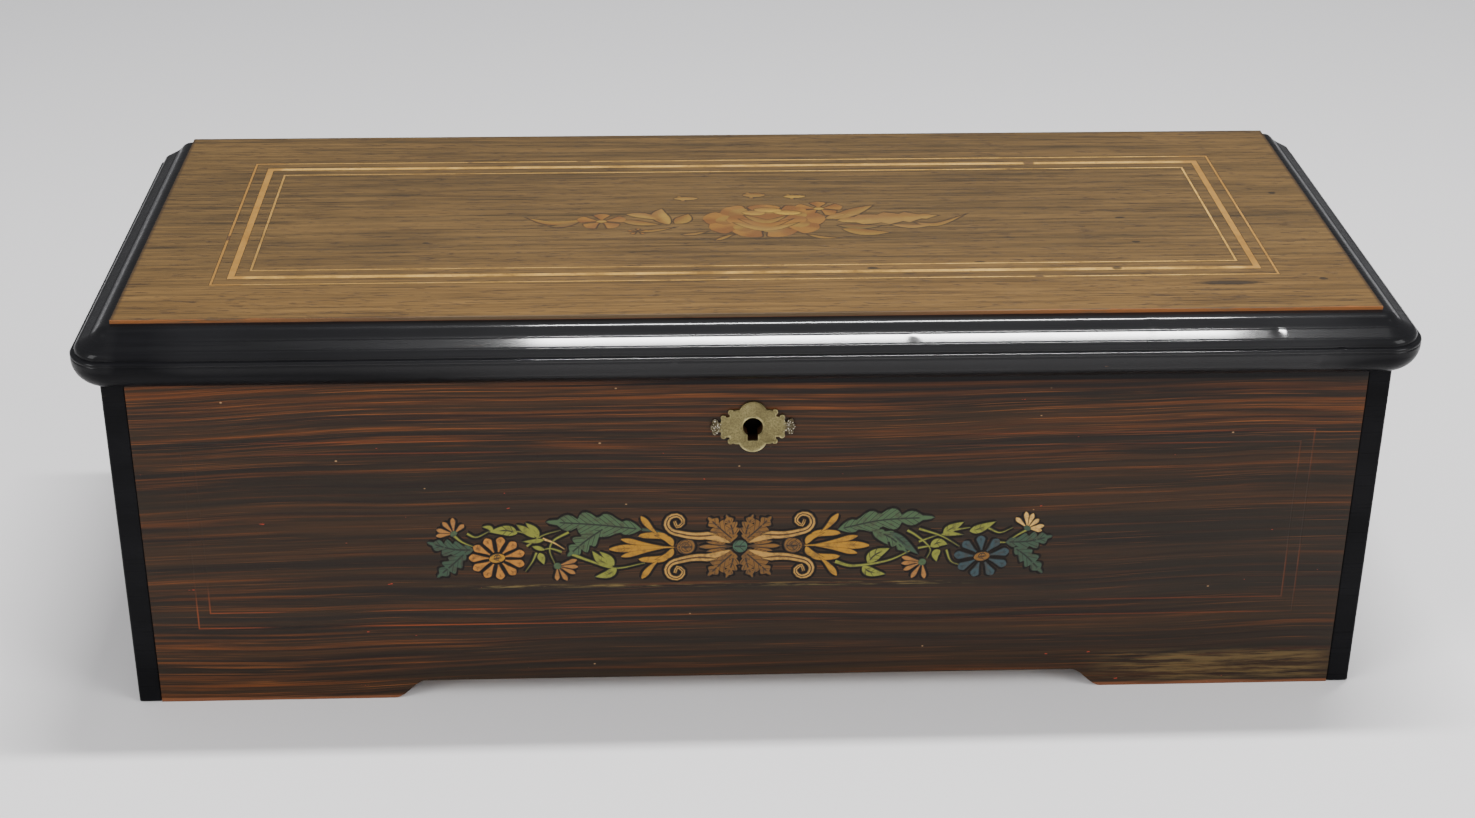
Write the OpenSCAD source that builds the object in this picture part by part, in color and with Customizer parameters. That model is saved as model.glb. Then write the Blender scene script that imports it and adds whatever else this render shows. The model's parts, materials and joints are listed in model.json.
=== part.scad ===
// Lever-wound cylinder music box in an ebonised and veneered case.
// Millimetres. X runs to the right, Y to the back, Z up. The case is drawn with Y = 0 at its front
// face and then moved by centre_y, so that the origin lies under the middle of the whole box.

/* [Case] */
// Width of the case over its end boards
case_w = 490; // [470:1:560]
// Depth of the case, front face to back face
case_d = 200; // [196:1:240]
// Height of the case from the table to its top edge
case_h = 141.6; // [138:0.2:170]
// Thickness of the front and back boards
wall_t = 10; // [9:0.5:13]
// Thickness of the two end boards
end_t = 9; // [7:0.5:13]
// Thickness of the bottom board
floor_t = 9; // [6:0.5:11]
// Height of the bottom board's underside above the table
floor_lift = 4.5; // [2:0.5:6]
// Thickness of the two partitions beside the movement
partition_t = 6; // [4:0.5:8]
// Clear width of the winding compartment on the left
left_bay_w = 56; // [52:1:60]
// Clear width of the control compartment on the right
right_bay_w = 47; // [40:1:52]

/* [Foot] */
// Height of the arch cut under the front board
arch_h = 8; // [4:0.5:14]
// Half width of the arch along the table
arch_half_w = 143; // [100:1:200]
// Length of the ogee at each end of the arch
arch_ogee_w = 13; // [6:1:30]

/* [Lid] */
// Height of the lid with its veneer
lid_h = 23.5; // [22:0.5:30]
// Gap between the case and the closed lid
lid_gap = 0.4; // [0.2:0.1:1]
// Thickness of the lid board, veneer included
lid_board_t = 11; // [8:0.5:13]
// Width of the frame under the lid board
lid_frame_w = 13; // [10:0.5:14]
// Thickness of the veneer
veneer_t = 1.2; // [1:0.1:2]
// How far the veneered panel stops short of the case face
panel_inset = 5.3; // [4:0.1:8]
// How far the lid moulding stands out past the case
moulding_out = 10.4; // [9:0.1:14]
// Distance from the panel's edge to the middle of the broad stringing line
string_inset = 39; // [24:0.5:50]
// Width of the broad stringing line
string_broad_w = 2.6; // [1.5:0.1:4]
// Width of the two narrow stringing lines
string_narrow_w = 0.9; // [0.6:0.1:1.6]
// Distance of the narrow lines from the broad one, middle to middle
string_step = 6.8; // [4:0.1:10]
// Depth of the stringing grooves
string_depth = 0.7; // [0.4:0.1:0.9]

/* [Hinges] */
// Distance of each lid hinge from the middle of the box
hinge_x = 150; // [80:1:190]
// Length of each lid hinge
hinge_len = 50; // [30:1:70]
// Radius of the lid hinge knuckles
knuckle_r = 3; // [2.6:0.1:4]
// Radius of the lid hinge pins
hinge_pin_r = 1.25; // [0.9:0.05:1.5]
// Thickness of the lid hinge leaves
leaf_t = 1.5; // [1:0.1:2]
// Width of each hinge leaf let into the wood
leaf_w = 8; // [6:0.5:8.5]

/* [Lock] */
// Depth of the keyhole's middle below the case's top edge
keyhole_drop = 20.9; // [18:0.1:26]
// Radius of the round part of the keyhole
keyhole_r = 3.9; // [2.5:0.1:4.5]
// Width of the escutcheon over its tips
plate_w = 32.5; // [28:0.5:44]
// Height of the escutcheon
plate_h = 21.4; // [19:0.2:26]
// Width of the lock case
lock_w = 46; // [38:1:60]
// Depth of the lock case let into the front board
lock_t = 5; // [4:0.5:5.5]
// Height of the lock case
lock_h = 32; // [30:1:38]

/* [Glass lid] */
// Width of the inner lid's rails
rail_w = 13; // [10:0.5:18]
// Thickness of the inner lid's rails
rail_t = 8; // [6:0.5:10]
// Thickness of the glass pane
pane_t = 2; // [1.6:0.1:3]
// Distance of the inner lid's top below the case's top edge
glass_drop = 15; // [13:0.5:17]

/* [Movement] */
// Depth of the cylinder's axis below the case's top edge
axis_drop = 65.6; // [62:0.1:66]
// Distance of the cylinder's axis from the inside of the back board
axis_back = 65; // [62:0.5:68]
// Radius of the cylinder
cyl_r = 24; // [22:0.5:25]
// Room for the spring drive, from the left partition to the cylinder
spring_room = 74; // [74:0.5:78]
// Room for the governor, from the cylinder to the right partition
governor_room = 63; // [62:0.5:68]
// Wall of the cylinder
cyl_wall = 1.2; // [0.8:0.1:2]
// Height of the cylinder's pins
pin_h = 1; // [0.6:0.1:1.2]
// Radius of the cylinder's pins
pin_r = 0.25; // [0.2:0.05:0.35]
// Radius of the cylinder's arbor
arbor_r = 3; // [2.5:0.1:3.5]
// Thickness of the bedplate
bed_t = 7; // [5:0.5:9]
// Height of the cylinder's axis above the bedplate
bed_drop = 32; // [32:0.5:34]
// Reach of the bedplate in front of the cylinder's axis
bed_front = 87; // [85:0.5:90]
// Reach of the bedplate behind the cylinder's axis
bed_back = 53; // [50:0.5:56]
// Number of tunes on the cylinder
tunes = 8; // [4:1:8]
// Sideways step of the cylinder from one tune to the next
tune_step = 0.4; // [0.3:0.05:0.45]

/* [Comb] */
// Bare length of the cylinder at each end of the comb, at least
comb_margin = 7; // [6:0.5:30]
// Distance from tooth to tooth
tooth_pitch = 3.2; // [3:0.05:3.3]
// Width of the slits between the teeth
slit_w = 0.5; // [0.4:0.05:0.8]
// Length of the longest, lowest tooth
tooth_long = 36; // [30:1:38]
// Length of the shortest, highest tooth
tooth_short = 15; // [12:1:20]
// Thickness of the comb's solid heel
comb_t = 3.4; // [3:0.1:4]
// Thickness of the comb's teeth
tooth_t = 1.6; // [1:0.1:2.2]
// Gap between the tooth tips and the circle of the pins
tip_gap = 0.25; // [0.2:0.05:0.5]

/* [Spring drive] */
// Radius of the spring barrel
barrel_r = 25.5; // [24:0.5:26]
// Length of the spring barrel
barrel_len = 40; // [34:1:41]
// Wall of the spring barrel
barrel_wall = 2; // [1.5:0.1:3]
// Radius of the winding arbor
wind_r = 4; // [3.5:0.1:4.5]
// Module of the drive wheel and pinion
drive_m = 0.9; // [0.85:0.01:0.92]
// Teeth of the barrel's drive wheel
drive_wheel_n = 64; // [60:1:64]
// Teeth of the pinion on the cylinder's arbor
drive_pinion_n = 16; // [14:1:18]
// Length of the winding lever, arbor to handle
lever_len = 58; // [44:1:60]
// Radius of the winding lever's handle
handle_r = 7; // [5:0.5:8]
// Teeth of the ratchet wheel
ratchet_n = 24; // [16:1:30]
// Outer radius of the ratchet wheel
ratchet_r = 17; // [15:0.5:18]

/* [Governor] */
// Module of the great wheel and first pinion
great_m = 0.6; // [0.55:0.01:0.6]
// Teeth of the great wheel
great_n = 96; // [90:1:96]
// Leaves of the first pinion
first_pinion_n = 12; // [12:1:14]
// Module of the second wheel and its pinion
second_m = 0.5; // [0.45:0.01:0.5]
// Teeth of the second wheel
second_n = 60; // [54:1:60]
// Leaves of the second pinion
second_pinion_n = 10; // [10:1:12]
// Module of the worm wheel
worm_m = 0.55; // [0.5:0.01:0.55]
// Teeth of the worm wheel
worm_n = 36; // [30:1:36]
// Pitch radius of the endless screw
worm_r = 2.4; // [2.2:0.1:2.6]
// Radius swept by the air vanes
fly_r = 13; // [10:0.5:14]
// Height of the air vanes
fly_h = 15; // [10:0.5:16]

/* [Controls] */
// Length of each control lever above its pivot
control_len = 40; // [30:1:44]
// Distance between the two control levers
control_gap = 34; // [26:1:40]

/* [Fits] */
// Radial running clearance of an arbor in its bearing
run_fit = 0.05; // [0.02:0.01:0.1]
// Radial clearance of a piece fixed on its arbor
seat_fit = 0.02; // [0.01:0.01:0.05]
// Clearance between pieces that lie beside each other
side_gap = 0.3; // [0.2:0.05:0.5]
// Extra centre distance between meshing wheels
mesh_gap = 0.1; // [0.05:0.01:0.15]

/* [Hidden] */
smooth = 48;
eps = 0.01;

// Places in the case
inner_x = case_w / 2 - end_t;
inner_y1 = case_d - wall_t;
floor_top = floor_lift + floor_t;
left_wall_x = -inner_x + left_bay_w;
room_x0 = left_wall_x + partition_t;
right_wall_x = inner_x - right_bay_w;
room_x1 = right_wall_x - partition_t;
partition_top = case_h - glass_drop;
keyhole_z = case_h - keyhole_drop;
axis_z = case_h - axis_drop;
axis_y = inner_y1 - axis_back;
bed_top = axis_z - bed_drop;
cyl_x0 = room_x0 + spring_room;
cyl_len = room_x1 - governor_room - cyl_x0;
teeth = floor((cyl_len - 2 * comb_margin) / tooth_pitch);
lid_z = case_h + lid_gap;
lid_top = lid_z + lid_h;
hinge_y = case_d + knuckle_r + 0.2;
hinge_z = case_h + lid_gap / 2;
centre_y = -(hinge_y + knuckle_r - moulding_out) / 2;

module at_case() {
    translate([0, centre_y, 0]) children();
}

// A block given by its lowest and highest corners
module block(lo, hi) {
    translate(lo) cube(hi - lo);
}

// A round bar along X from x0 to x1
module bar_x(r, x0, x1, y, z, fn = smooth) {
    translate([x0, y, z]) rotate([0, 90, 0]) cylinder(r = r, h = x1 - x0, $fn = fn);
}

// A flat shape in the YZ plane, drawn as (y, z), carried from x0 to x1
module plate_x(x0, x1) {
    translate([x0, 0, 0])
    rotate([90, 0, 90])
    linear_extrude(height = x1 - x0)
    children();
}

// A slotted round-head screw at the origin, its head above z = 0 and its shank below
module screw(head_r, head_h, shank_r, shank_len) {
    difference() {
        union() {
            cylinder(r = head_r, h = head_h, $fn = 32);
            translate([0, 0, -shank_len]) cylinder(r = shank_r, h = shank_len + eps, $fn = 32);
        }
        translate([-head_r, -head_r * 0.12, head_h * 0.5])
        cube([2 * head_r, head_r * 0.24, head_h]);
    }
}

module screw_hole(shank_r, shank_len) {
    translate([0, 0, -shank_len - side_gap])
    cylinder(r = shank_r + seat_fit, h = shank_len + side_gap + eps, $fn = 32);
}

// ------------------------------------------------------------------ case boards

// Half of the arch under the front: a flat top that meets the table in an ogee
module arch_outline() {
    top_w = arch_half_w - arch_ogee_w;
    steps = 12;
    right = [for (i = [0 : steps])
        [top_w + arch_ogee_w * i / steps, arch_h * (1 + cos(180 * i / steps)) / 2]];
    left = [for (i = [steps : -1 : 0]) [-right[i][0], right[i][1]]];
    polygon(concat([[-arch_half_w, -1]], left, right, [[arch_half_w, -1]]));
}

lock_top = case_h - 2;
lock_bottom = lock_top - lock_h;

module front_board() {
    color([0.20, 0.10, 0.06])
    at_case()
    difference() {
        block([-inner_x, 0, 0], [inner_x, wall_t, case_h]);
        translate([0, wall_t + 1, 0])
        rotate([90, 0, 0]) linear_extrude(height = wall_t + 2) arch_outline();
        keyhole_bore(-1, wall_t + 1);
        block([-lock_w / 2 - side_gap, wall_t - lock_t, lock_bottom - side_gap],
              [lock_w / 2 + side_gap, wall_t + 1, case_h + 1]);
    }
}

// Keyhole from y0 to y1: a round bore with a slot below it
module keyhole_bore(y0, y1) {
    translate([0, y1, keyhole_z]) rotate([90, 0, 0]) cylinder(r = keyhole_r, h = y1 - y0, $fn = smooth);
    block([-keyhole_r * 0.52, y0, keyhole_z - keyhole_r * 1.5], [keyhole_r * 0.52, y1, keyhole_z]);
}

module back_board() {
    color([0.16, 0.09, 0.06])
    at_case()
    difference() {
        block([-inner_x, inner_y1, 0], [inner_x, case_d, case_h]);
        for (s = [-1, 1]) {
            block([s * hinge_x - hinge_len / 2 - side_gap, case_d - leaf_w - side_gap, case_h - leaf_t],
                  [s * hinge_x + hinge_len / 2 + side_gap, case_d + 1, case_h + 1]);
            for (t = [-1, 1]) case_hinge_screw_at(s, t) screw_hole(hinge_shank_r, hinge_shank);
        }
        for (s = [-1, 1])
        translate([glass_mid + s * glass_hinge_x, inner_y1, plate_screw_z])
        rotate([90, 0, 0]) screw_hole(glass_shank_r, glass_shank);
    }
}

module end_board(side) {
    x0 = side > 0 ? inner_x : -case_w / 2;
    at_case() block([x0, 0, 0], [x0 + end_t, case_d, case_h]);
}

module left_end() {
    color([0.09, 0.08, 0.08]) end_board(-1);
}

module right_end() {
    color([0.09, 0.08, 0.08]) end_board(1);
}

module bottom_board() {
    color([0.42, 0.30, 0.18])
    at_case() block([-inner_x, wall_t, floor_lift], [inner_x, inner_y1, floor_top]);
}

module left_partition() {
    color([0.12, 0.08, 0.06])
    at_case()
    difference() {
        block([left_wall_x, wall_t, floor_top], [room_x0, inner_y1, partition_top]);
        bar_x(wind_r + 2, left_wall_x - 1, room_x0 + 1, wind_y, wind_z);
        for (s = [0, 1]) bar_x(stud_r + seat_fit, left_wall_x - 1, room_x0 + 1, click_y(s), click_z(s));
    }
}

module right_partition() {
    color([0.12, 0.08, 0.06])
    at_case()
    difference() {
        block([right_wall_x - partition_t, wall_t, floor_top], [right_wall_x, inner_y1, partition_top]);
        for (s = [-1, 1]) bar_x(stud_r + seat_fit, room_x1 - 1, right_wall_x + 1, control_y(s), control_z);
        plate_x(room_x1 - 1, right_wall_x + 1) stop_window();
    }
}

// ------------------------------------------------------------------ inner glass lid

glass_top = case_h - glass_drop;
glass_z = glass_top - rail_t;
glass_x0 = room_x0 + 0.6;
glass_x1 = room_x1 - 0.6;
glass_mid = (glass_x0 + glass_x1) / 2;
glass_y0 = wall_t + 1;
glass_y1 = inner_y1 - 3.4;
ledge_w = 7;
ledge_h = 14;
glass_pin_r = 0.7;
glass_knuckle_r = 1.4;
glass_leaf_t = 0.8;
glass_hinge_x = 120;
glass_hinge_len = 30;
glass_axis_y = inner_y1 - glass_knuckle_r - 0.3;
glass_axis_z = glass_top + glass_knuckle_r - glass_leaf_t / 2;
glass_shank_r = 0.8;
glass_shank = 6;
plate_screw_z = glass_top - 7;

// Strips on the front and back boards that carry the inner lid
module glass_ledges() {
    color([0.12, 0.08, 0.06])
    at_case()
    difference() {
        union() {
            block([room_x0, wall_t, glass_z - ledge_h], [room_x1, wall_t + ledge_w, glass_z]);
            block([room_x0, inner_y1 - ledge_w, glass_z - ledge_h], [room_x1, inner_y1, glass_z - 3]);
            block([room_x0, inner_y1 - ledge_w, glass_z - 3 - eps],
                  [glass_mid - glass_hinge_x - glass_hinge_len, inner_y1, glass_z]);
            block([glass_mid - glass_hinge_x + glass_hinge_len, inner_y1 - ledge_w, glass_z - 3 - eps],
                  [glass_mid + glass_hinge_x - glass_hinge_len, inner_y1, glass_z]);
            block([glass_mid + glass_hinge_x + glass_hinge_len, inner_y1 - ledge_w, glass_z - 3 - eps],
                  [room_x1, inner_y1, glass_z]);
        }
        block([-lock_w / 2 - side_gap, 0, glass_z - ledge_h - 1],
              [lock_w / 2 + side_gap, wall_t + 1.5, case_h]);
    }
}

pane_lap = 4;
pane_sink = 1.5;

module glass_frame() {
    color([0.10, 0.07, 0.05])
    at_case()
    difference() {
        block([glass_x0, glass_y0, glass_z + side_gap / 2], [glass_x1, glass_y1, glass_top]);
        block([glass_x0 + rail_w, glass_y0 + rail_w, glass_z - 1],
              [glass_x1 - rail_w, glass_y1 - rail_w, glass_top + 1]);
        block([glass_x0 + rail_w - pane_lap, glass_y0 + rail_w - pane_lap, glass_top - pane_t - pane_sink],
              [glass_x1 - rail_w + pane_lap, glass_y1 - rail_w + pane_lap, glass_top + 1]);
        block([-lock_w / 2 - 1, 0, glass_z - 1], [lock_w / 2 + 1, wall_t + 2.6, glass_top + 1]);
        translate([glass_mid, glass_y0 + rail_w * 0.38, glass_top]) screw_hole(1.5, 5);
        for (s = [-1, 1], t = [-1, 1]) glass_leaf_screw_at(s, t) screw_hole(glass_shank_r, 4);
    }
}

module glass_leaf_screw_at(s, t) {
    translate([glass_mid + s * glass_hinge_x + t * glass_hinge_len * 0.32, glass_y1 - 6.5,
               glass_top + glass_leaf_t])
    children();
}

module glass_pane() {
    color([0.75, 0.85, 0.85])
    at_case()
    block([glass_x0 + rail_w - pane_lap + side_gap, glass_y0 + rail_w - pane_lap + side_gap,
           glass_top - pane_t - pane_sink],
          [glass_x1 - rail_w + pane_lap - side_gap, glass_y1 - rail_w + pane_lap - side_gap,
           glass_top - pane_sink]);
}

// Small turned brass knob that lifts the inner lid
module glass_knob() {
    color([0.75, 0.58, 0.28])
    at_case()
    translate([glass_mid, glass_y0 + rail_w * 0.38, glass_top])
    rotate_extrude($fn = 32)
    polygon([[0, -5], [1.5, -5], [1.5, 0], [3, 0], [3, 0.8], [1.6, 1.6], [1.6, 3], [3.2, 4.4],
             [3.2, 5.6], [2, 6.8], [0, 7]]);
}

// One pair of butt hinge knuckles along X: outer knuckles on the fixed leaf, the middle on the moving one
module knuckle_run(len, r, part, gap) {
    third = len / 3;
    if (part == "outer") {
        bar_x(r, -len / 2, -third / 2 - gap / 2, 0, 0, 32);
        bar_x(r, third / 2 + gap / 2, len / 2, 0, 0, 32);
    } else {
        bar_x(r, -third / 2 + gap / 2, third / 2 - gap / 2, 0, 0, 32);
    }
}

module glass_hinge_leaves() {
    color([0.75, 0.58, 0.28])
    at_case()
    for (s = [-1, 1]) {
        difference() {
            union() {
                translate([glass_mid + s * glass_hinge_x, glass_axis_y, glass_axis_z])
                knuckle_run(glass_hinge_len, glass_knuckle_r, "middle", side_gap);
                translate([glass_mid + s * glass_hinge_x, 0, glass_top]) {
                    block([-glass_hinge_len / 2, glass_y1 - 10, 0],
                          [glass_hinge_len / 2, glass_y1, glass_leaf_t]);
                    block([-glass_hinge_len / 6 + side_gap / 2, glass_y1 - eps, 0],
                          [glass_hinge_len / 6 - side_gap / 2, glass_axis_y, glass_leaf_t]);
                }
            }
            translate([glass_mid + s * glass_hinge_x, glass_axis_y, glass_axis_z])
            bar_x(glass_pin_r + run_fit, -glass_hinge_len, glass_hinge_len, 0, 0, 32);
            for (t = [-1, 1]) glass_leaf_screw_at(s, t) screw_hole(glass_shank_r, 4);
        }
        for (t = [-1, 1]) glass_leaf_screw_at(s, t) screw(1.5, 0.7, glass_shank_r, 4);
    }
}

// Fixed hinge plates of the inner lid, with their pins and screws, on the inside of the back board
module glass_hinge_plates() {
    color([0.75, 0.58, 0.28])
    at_case()
    for (s = [-1, 1]) {
        difference() {
            union() {
                translate([glass_mid + s * glass_hinge_x, glass_axis_y, glass_axis_z])
                knuckle_run(glass_hinge_len, glass_knuckle_r, "outer", side_gap);
                block([glass_mid + s * glass_hinge_x - glass_hinge_len / 2, inner_y1 - glass_leaf_t,
                       glass_top - 11],
                      [glass_mid + s * glass_hinge_x + glass_hinge_len / 2, inner_y1, glass_axis_z]);
                for (t = [-1, 1])
                translate([glass_mid + s * glass_hinge_x + t * glass_hinge_len / 3, 0, 0])
                block([-glass_hinge_len / 6 + side_gap / 2, glass_axis_y, glass_axis_z - glass_leaf_t / 2],
                      [glass_hinge_len / 6 - side_gap / 2, inner_y1, glass_axis_z + glass_leaf_t / 2]);
            }
            translate([glass_mid + s * glass_hinge_x, glass_axis_y, glass_axis_z])
            bar_x(glass_knuckle_r + side_gap, -glass_hinge_len / 6 - eps, glass_hinge_len / 6 + eps,
                  0, 0, 32);
            translate([glass_mid + s * glass_hinge_x, inner_y1 - glass_leaf_t, plate_screw_z])
            rotate([90, 0, 0])
            translate([0, 0, -2]) cylinder(r = glass_shank_r + seat_fit, h = 3, $fn = 32);
        }
        translate([glass_mid + s * glass_hinge_x, glass_axis_y, glass_axis_z])
        bar_x(glass_pin_r, -glass_hinge_len / 2 - 0.5, glass_hinge_len / 2 + 0.5, 0, 0, 32);
        translate([glass_mid + s * glass_hinge_x, inner_y1 - glass_leaf_t, plate_screw_z])
        rotate([90, 0, 0]) screw(1.5, 0.7, glass_shank_r, glass_shank);
    }
}

// ------------------------------------------------------------------ lock and escutcheon

hook_x = 12;
hook_w = 4;
hook_y0 = wall_t - lock_t + 1.5;
hook_y1 = hook_y0 + 2;
hook_len = 9;
hook_mid = (hook_y0 + hook_y1) / 2;
hook_eye_z = case_h - 6;
slot_gap = 0.6;
bolt_guide_z = keyhole_z + keyhole_r + 2.1;

// Outline of the keyhole plate: lobes above and below, stepped shoulders, beaded tips
module plate_outline() {
    half_w = plate_w / 2;
    half_h = plate_h / 2;
    lobe_r = half_h * 0.52;
    bead_r = 1.1;
    steps = [[0, -0.1], [0.8, -0.1], [0.74, 0.32], [0.66, 0.4], [0.55, 0.4], [0.53, 0.62], [0.4, 0.68],
             [0, 0.68]];
    for (s = [0, 1], t = [0, 1]) mirror([s, 0]) mirror([0, t]) {
        polygon([for (p = steps) [p[0] * half_w, p[1] * half_h]]);
        translate([0.69 * half_w, 0.36 * half_h]) circle(r = bead_r, $fn = 24);
        translate([0.52 * half_w, 0.58 * half_h]) circle(r = bead_r, $fn = 24);
        translate([0.89 * half_w, 0.2 * half_h]) circle(r = bead_r, $fn = 24);
    }
    for (s = [-1, 1]) {
        translate([0, s * (half_h - lobe_r)]) circle(r = lobe_r, $fn = smooth);
        translate([s * (half_w - 2.2 * bead_r), 0]) circle(r = 2 * bead_r, $fn = 24);
        translate([s * (half_w - bead_r), 0]) circle(r = bead_r, $fn = 24);
    }
}

plate_t = 0.9;

module escutcheon() {
    color([0.60, 0.56, 0.42])
    at_case()
    difference() {
        translate([0, 0, keyhole_z]) rotate([90, 0, 0]) linear_extrude(height = plate_t) plate_outline();
        keyhole_bore(-plate_t - 1, 1);
    }
}

// Brass lock case let into the back of the front board, open inside for the bolt
module lock_case() {
    color([0.72, 0.56, 0.28])
    at_case()
    difference() {
        block([-lock_w / 2, wall_t - lock_t, lock_bottom], [lock_w / 2, wall_t, case_h]);
        difference() {
            block([-lock_w / 2 + 2, hook_y0 - side_gap, lock_bottom + 1.5],
                  [lock_w / 2 - 2, hook_y1 + side_gap, case_h - 2]);
            block([-lock_w / 2, 0, bolt_guide_z - 1.8], [lock_w / 2, wall_t, bolt_guide_z - side_gap]);
        }
        for (s = [-1, 1])
        block([s * hook_x - hook_w / 2 - slot_gap, hook_y0 - slot_gap, case_h - 3],
              [s * hook_x + hook_w / 2 + slot_gap, hook_y1 + slot_gap, case_h + 1]);
        keyhole_bore(0, hook_mid);
    }
}

// Sliding bolt: a bar with two thin fingers that pass through the eyes of the strike's hooks
bolt_t = 1.6;
finger_t = 0.8;
finger_len = 6;
stem_w = 2;
bar_h = 4;

function finger_tip(s) = s * hook_x - hook_w / 2 - 0.4;

module lock_bolt() {
    color([0.55, 0.55, 0.56])
    at_case()
    union() {
        block([finger_tip(-1) - finger_len, hook_mid - bolt_t / 2, bolt_guide_z],
              [finger_tip(1) - finger_len + stem_w, hook_mid + bolt_t / 2, bolt_guide_z + bar_h]);
        for (s = [-1, 1]) {
            block([finger_tip(s) - finger_len, hook_mid - bolt_t / 2, bolt_guide_z],
                  [finger_tip(s) - finger_len + stem_w, hook_mid + bolt_t / 2, hook_eye_z + 1]);
            block([finger_tip(s) - finger_len, hook_mid - finger_t / 2, hook_eye_z - 1],
                  [finger_tip(s), hook_mid + finger_t / 2, hook_eye_z + 1]);
        }
    }
}

module strike_screw_at(s) {
    translate([s * (hook_x + 8), hook_mid, lid_z + 0.8]) mirror([0, 0, 1]) children();
}

// Plate under the lid's front edge with two hooks that drop into the lock
module lock_strike() {
    color([0.72, 0.56, 0.28])
    at_case()
    difference() {
        union() {
            block([-hook_x - 12, hook_y0 - 1, lid_z], [hook_x + 12, hook_y1 + 3, lid_z + leaf_t]);
            for (s = [-1, 1])
            block([s * hook_x - hook_w / 2, hook_y0, lid_z - hook_len],
                  [s * hook_x + hook_w / 2, hook_y1, lid_z + eps]);
        }
        for (s = [-1, 1]) {
            block([s * hook_x - hook_w, hook_mid - 0.7, hook_eye_z - 1.5],
                  [s * hook_x + hook_w, hook_mid + 0.7, hook_eye_z + 1.5]);
            strike_screw_at(s) flush_hole();
        }
    }
}

// ------------------------------------------------------------------ lid

panel_x = case_w / 2 - panel_inset;
frame_top = lid_top - lid_board_t;
hinge_head_r = 1.9;
hinge_head_h = 0.8;
hinge_shank_r = 1;
hinge_shank = 7;

// Room for a flush screw head and its shank, from the head's underside
module flush_hole() {
    cylinder(r = hinge_head_r + seat_fit, h = hinge_head_h + 1, $fn = 32);
    screw_hole(hinge_shank_r, hinge_shank);
}

module flush_screw() {
    screw(hinge_head_r, hinge_head_h, hinge_shank_r, hinge_shank);
}

module case_hinge_screw_at(s, t) {
    translate([s * hinge_x + t * hinge_len * 0.33, case_d - leaf_w * 0.55, case_h - hinge_head_h]) children();
}

module lid_hinge_screw_at(s, t) {
    translate([s * hinge_x + t * hinge_len * 0.33, case_d - leaf_w * 0.55, lid_z + hinge_head_h])
    mirror([0, 0, 1])
    children();
}

module lid_board() {
    color([0.35, 0.24, 0.15])
    at_case()
    block([-panel_x, panel_inset, frame_top], [panel_x, case_d, lid_top - veneer_t]);
}

// Frame glued under the lid board, open in the middle
module lid_frame() {
    color([0.12, 0.09, 0.08])
    at_case()
    difference() {
        block([-panel_x, panel_inset, lid_z], [panel_x, case_d, frame_top]);
        block([-panel_x + lid_frame_w, panel_inset + lid_frame_w, lid_z - 1],
              [panel_x - lid_frame_w, case_d - lid_frame_w, frame_top + 1]);
        for (s = [-1, 1]) {
            block([s * hinge_x - hinge_len / 2 - side_gap, case_d - leaf_w - side_gap, lid_z - 1],
                  [s * hinge_x + hinge_len / 2 + side_gap, case_d + 1, lid_z + leaf_t]);
            for (t = [-1, 1]) lid_hinge_screw_at(s, t) screw_hole(hinge_shank_r, hinge_shank);
            strike_screw_at(s) screw_hole(hinge_shank_r, hinge_shank);
        }
        block([-hook_x - 12 - side_gap, panel_inset - 1, lid_z - 1],
              [hook_x + 12 + side_gap, hook_y1 + 3 + side_gap, lid_z + leaf_t]);
    }
}

// A rectangular line of the given width that runs at one inset round the panel
module string_line(inset, w, z0, z1) {
    difference() {
        block([-panel_x + inset - w / 2, panel_inset + inset - w / 2, z0],
              [panel_x - inset + w / 2, case_d - inset + w / 2, z1]);
        block([-panel_x + inset + w / 2, panel_inset + inset + w / 2, z0 - 1],
              [panel_x - inset - w / 2, case_d - inset - w / 2, z1 + 1]);
    }
}

module string_lines(z0, z1, extra) {
    string_line(string_inset, string_broad_w + extra, z0, z1);
    for (s = [-1, 1]) string_line(string_inset + s * string_step, string_narrow_w + extra, z0, z1);
}

module lid_veneer() {
    color([0.52, 0.40, 0.26])
    at_case()
    difference() {
        block([-panel_x, panel_inset, lid_top - veneer_t], [panel_x, case_d, lid_top]);
        string_lines(lid_top - string_depth, lid_top + 1, 0);
    }
}

// Three pale lines let into the veneer, flush with it
module lid_stringing() {
    color([0.78, 0.60, 0.32])
    at_case()
    string_lines(lid_top - string_depth, lid_top, 0);
}

// Points along an arc about (x, y), from angle a0 to a1
function arc_points(x, y, r, a0, a1, steps) =
    [for (i = [0 : steps]) let(a = a0 + (a1 - a0) * i / steps) [x + r * cos(a), y + r * sin(a)]];

// Section of the lid moulding: x outwards from the panel's edge, y upwards from the lid's underside.
// From the bottom: a large under-roll, a bead, a broad ovolo, a hollow, and a small roll under the veneer.
module moulding_profile() {
    under_r = moulding_out - 0.4;
    bead_r = 0.9;
    ovolo_r = 5.4;
    hollow_r = 3.4;
    top_r = 1.6;
    outer = panel_inset + moulding_out;
    ovolo_x = outer - 1.6 - ovolo_r;
    ovolo_y = under_r + 2.3;
    top_x = 3;
    top_y = lid_h - 1.4 - top_r;
    polygon(concat(
        [[0, 0]],
        arc_points(outer - under_r, under_r, under_r, -90, 0, 14),
        arc_points(outer - bead_r, under_r + 1.3, bead_r, -40, 100, 5),
        arc_points(ovolo_x, ovolo_y, ovolo_r, 0, 80, 10),
        arc_points((ovolo_x + top_x) / 2 + 1.9, lid_h - 2.6, hollow_r, 285, 210, 6),
        arc_points(top_x, top_y, top_r, 0, 110, 6),
        [[0, lid_h - 1.4]]
    ));
}

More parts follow.
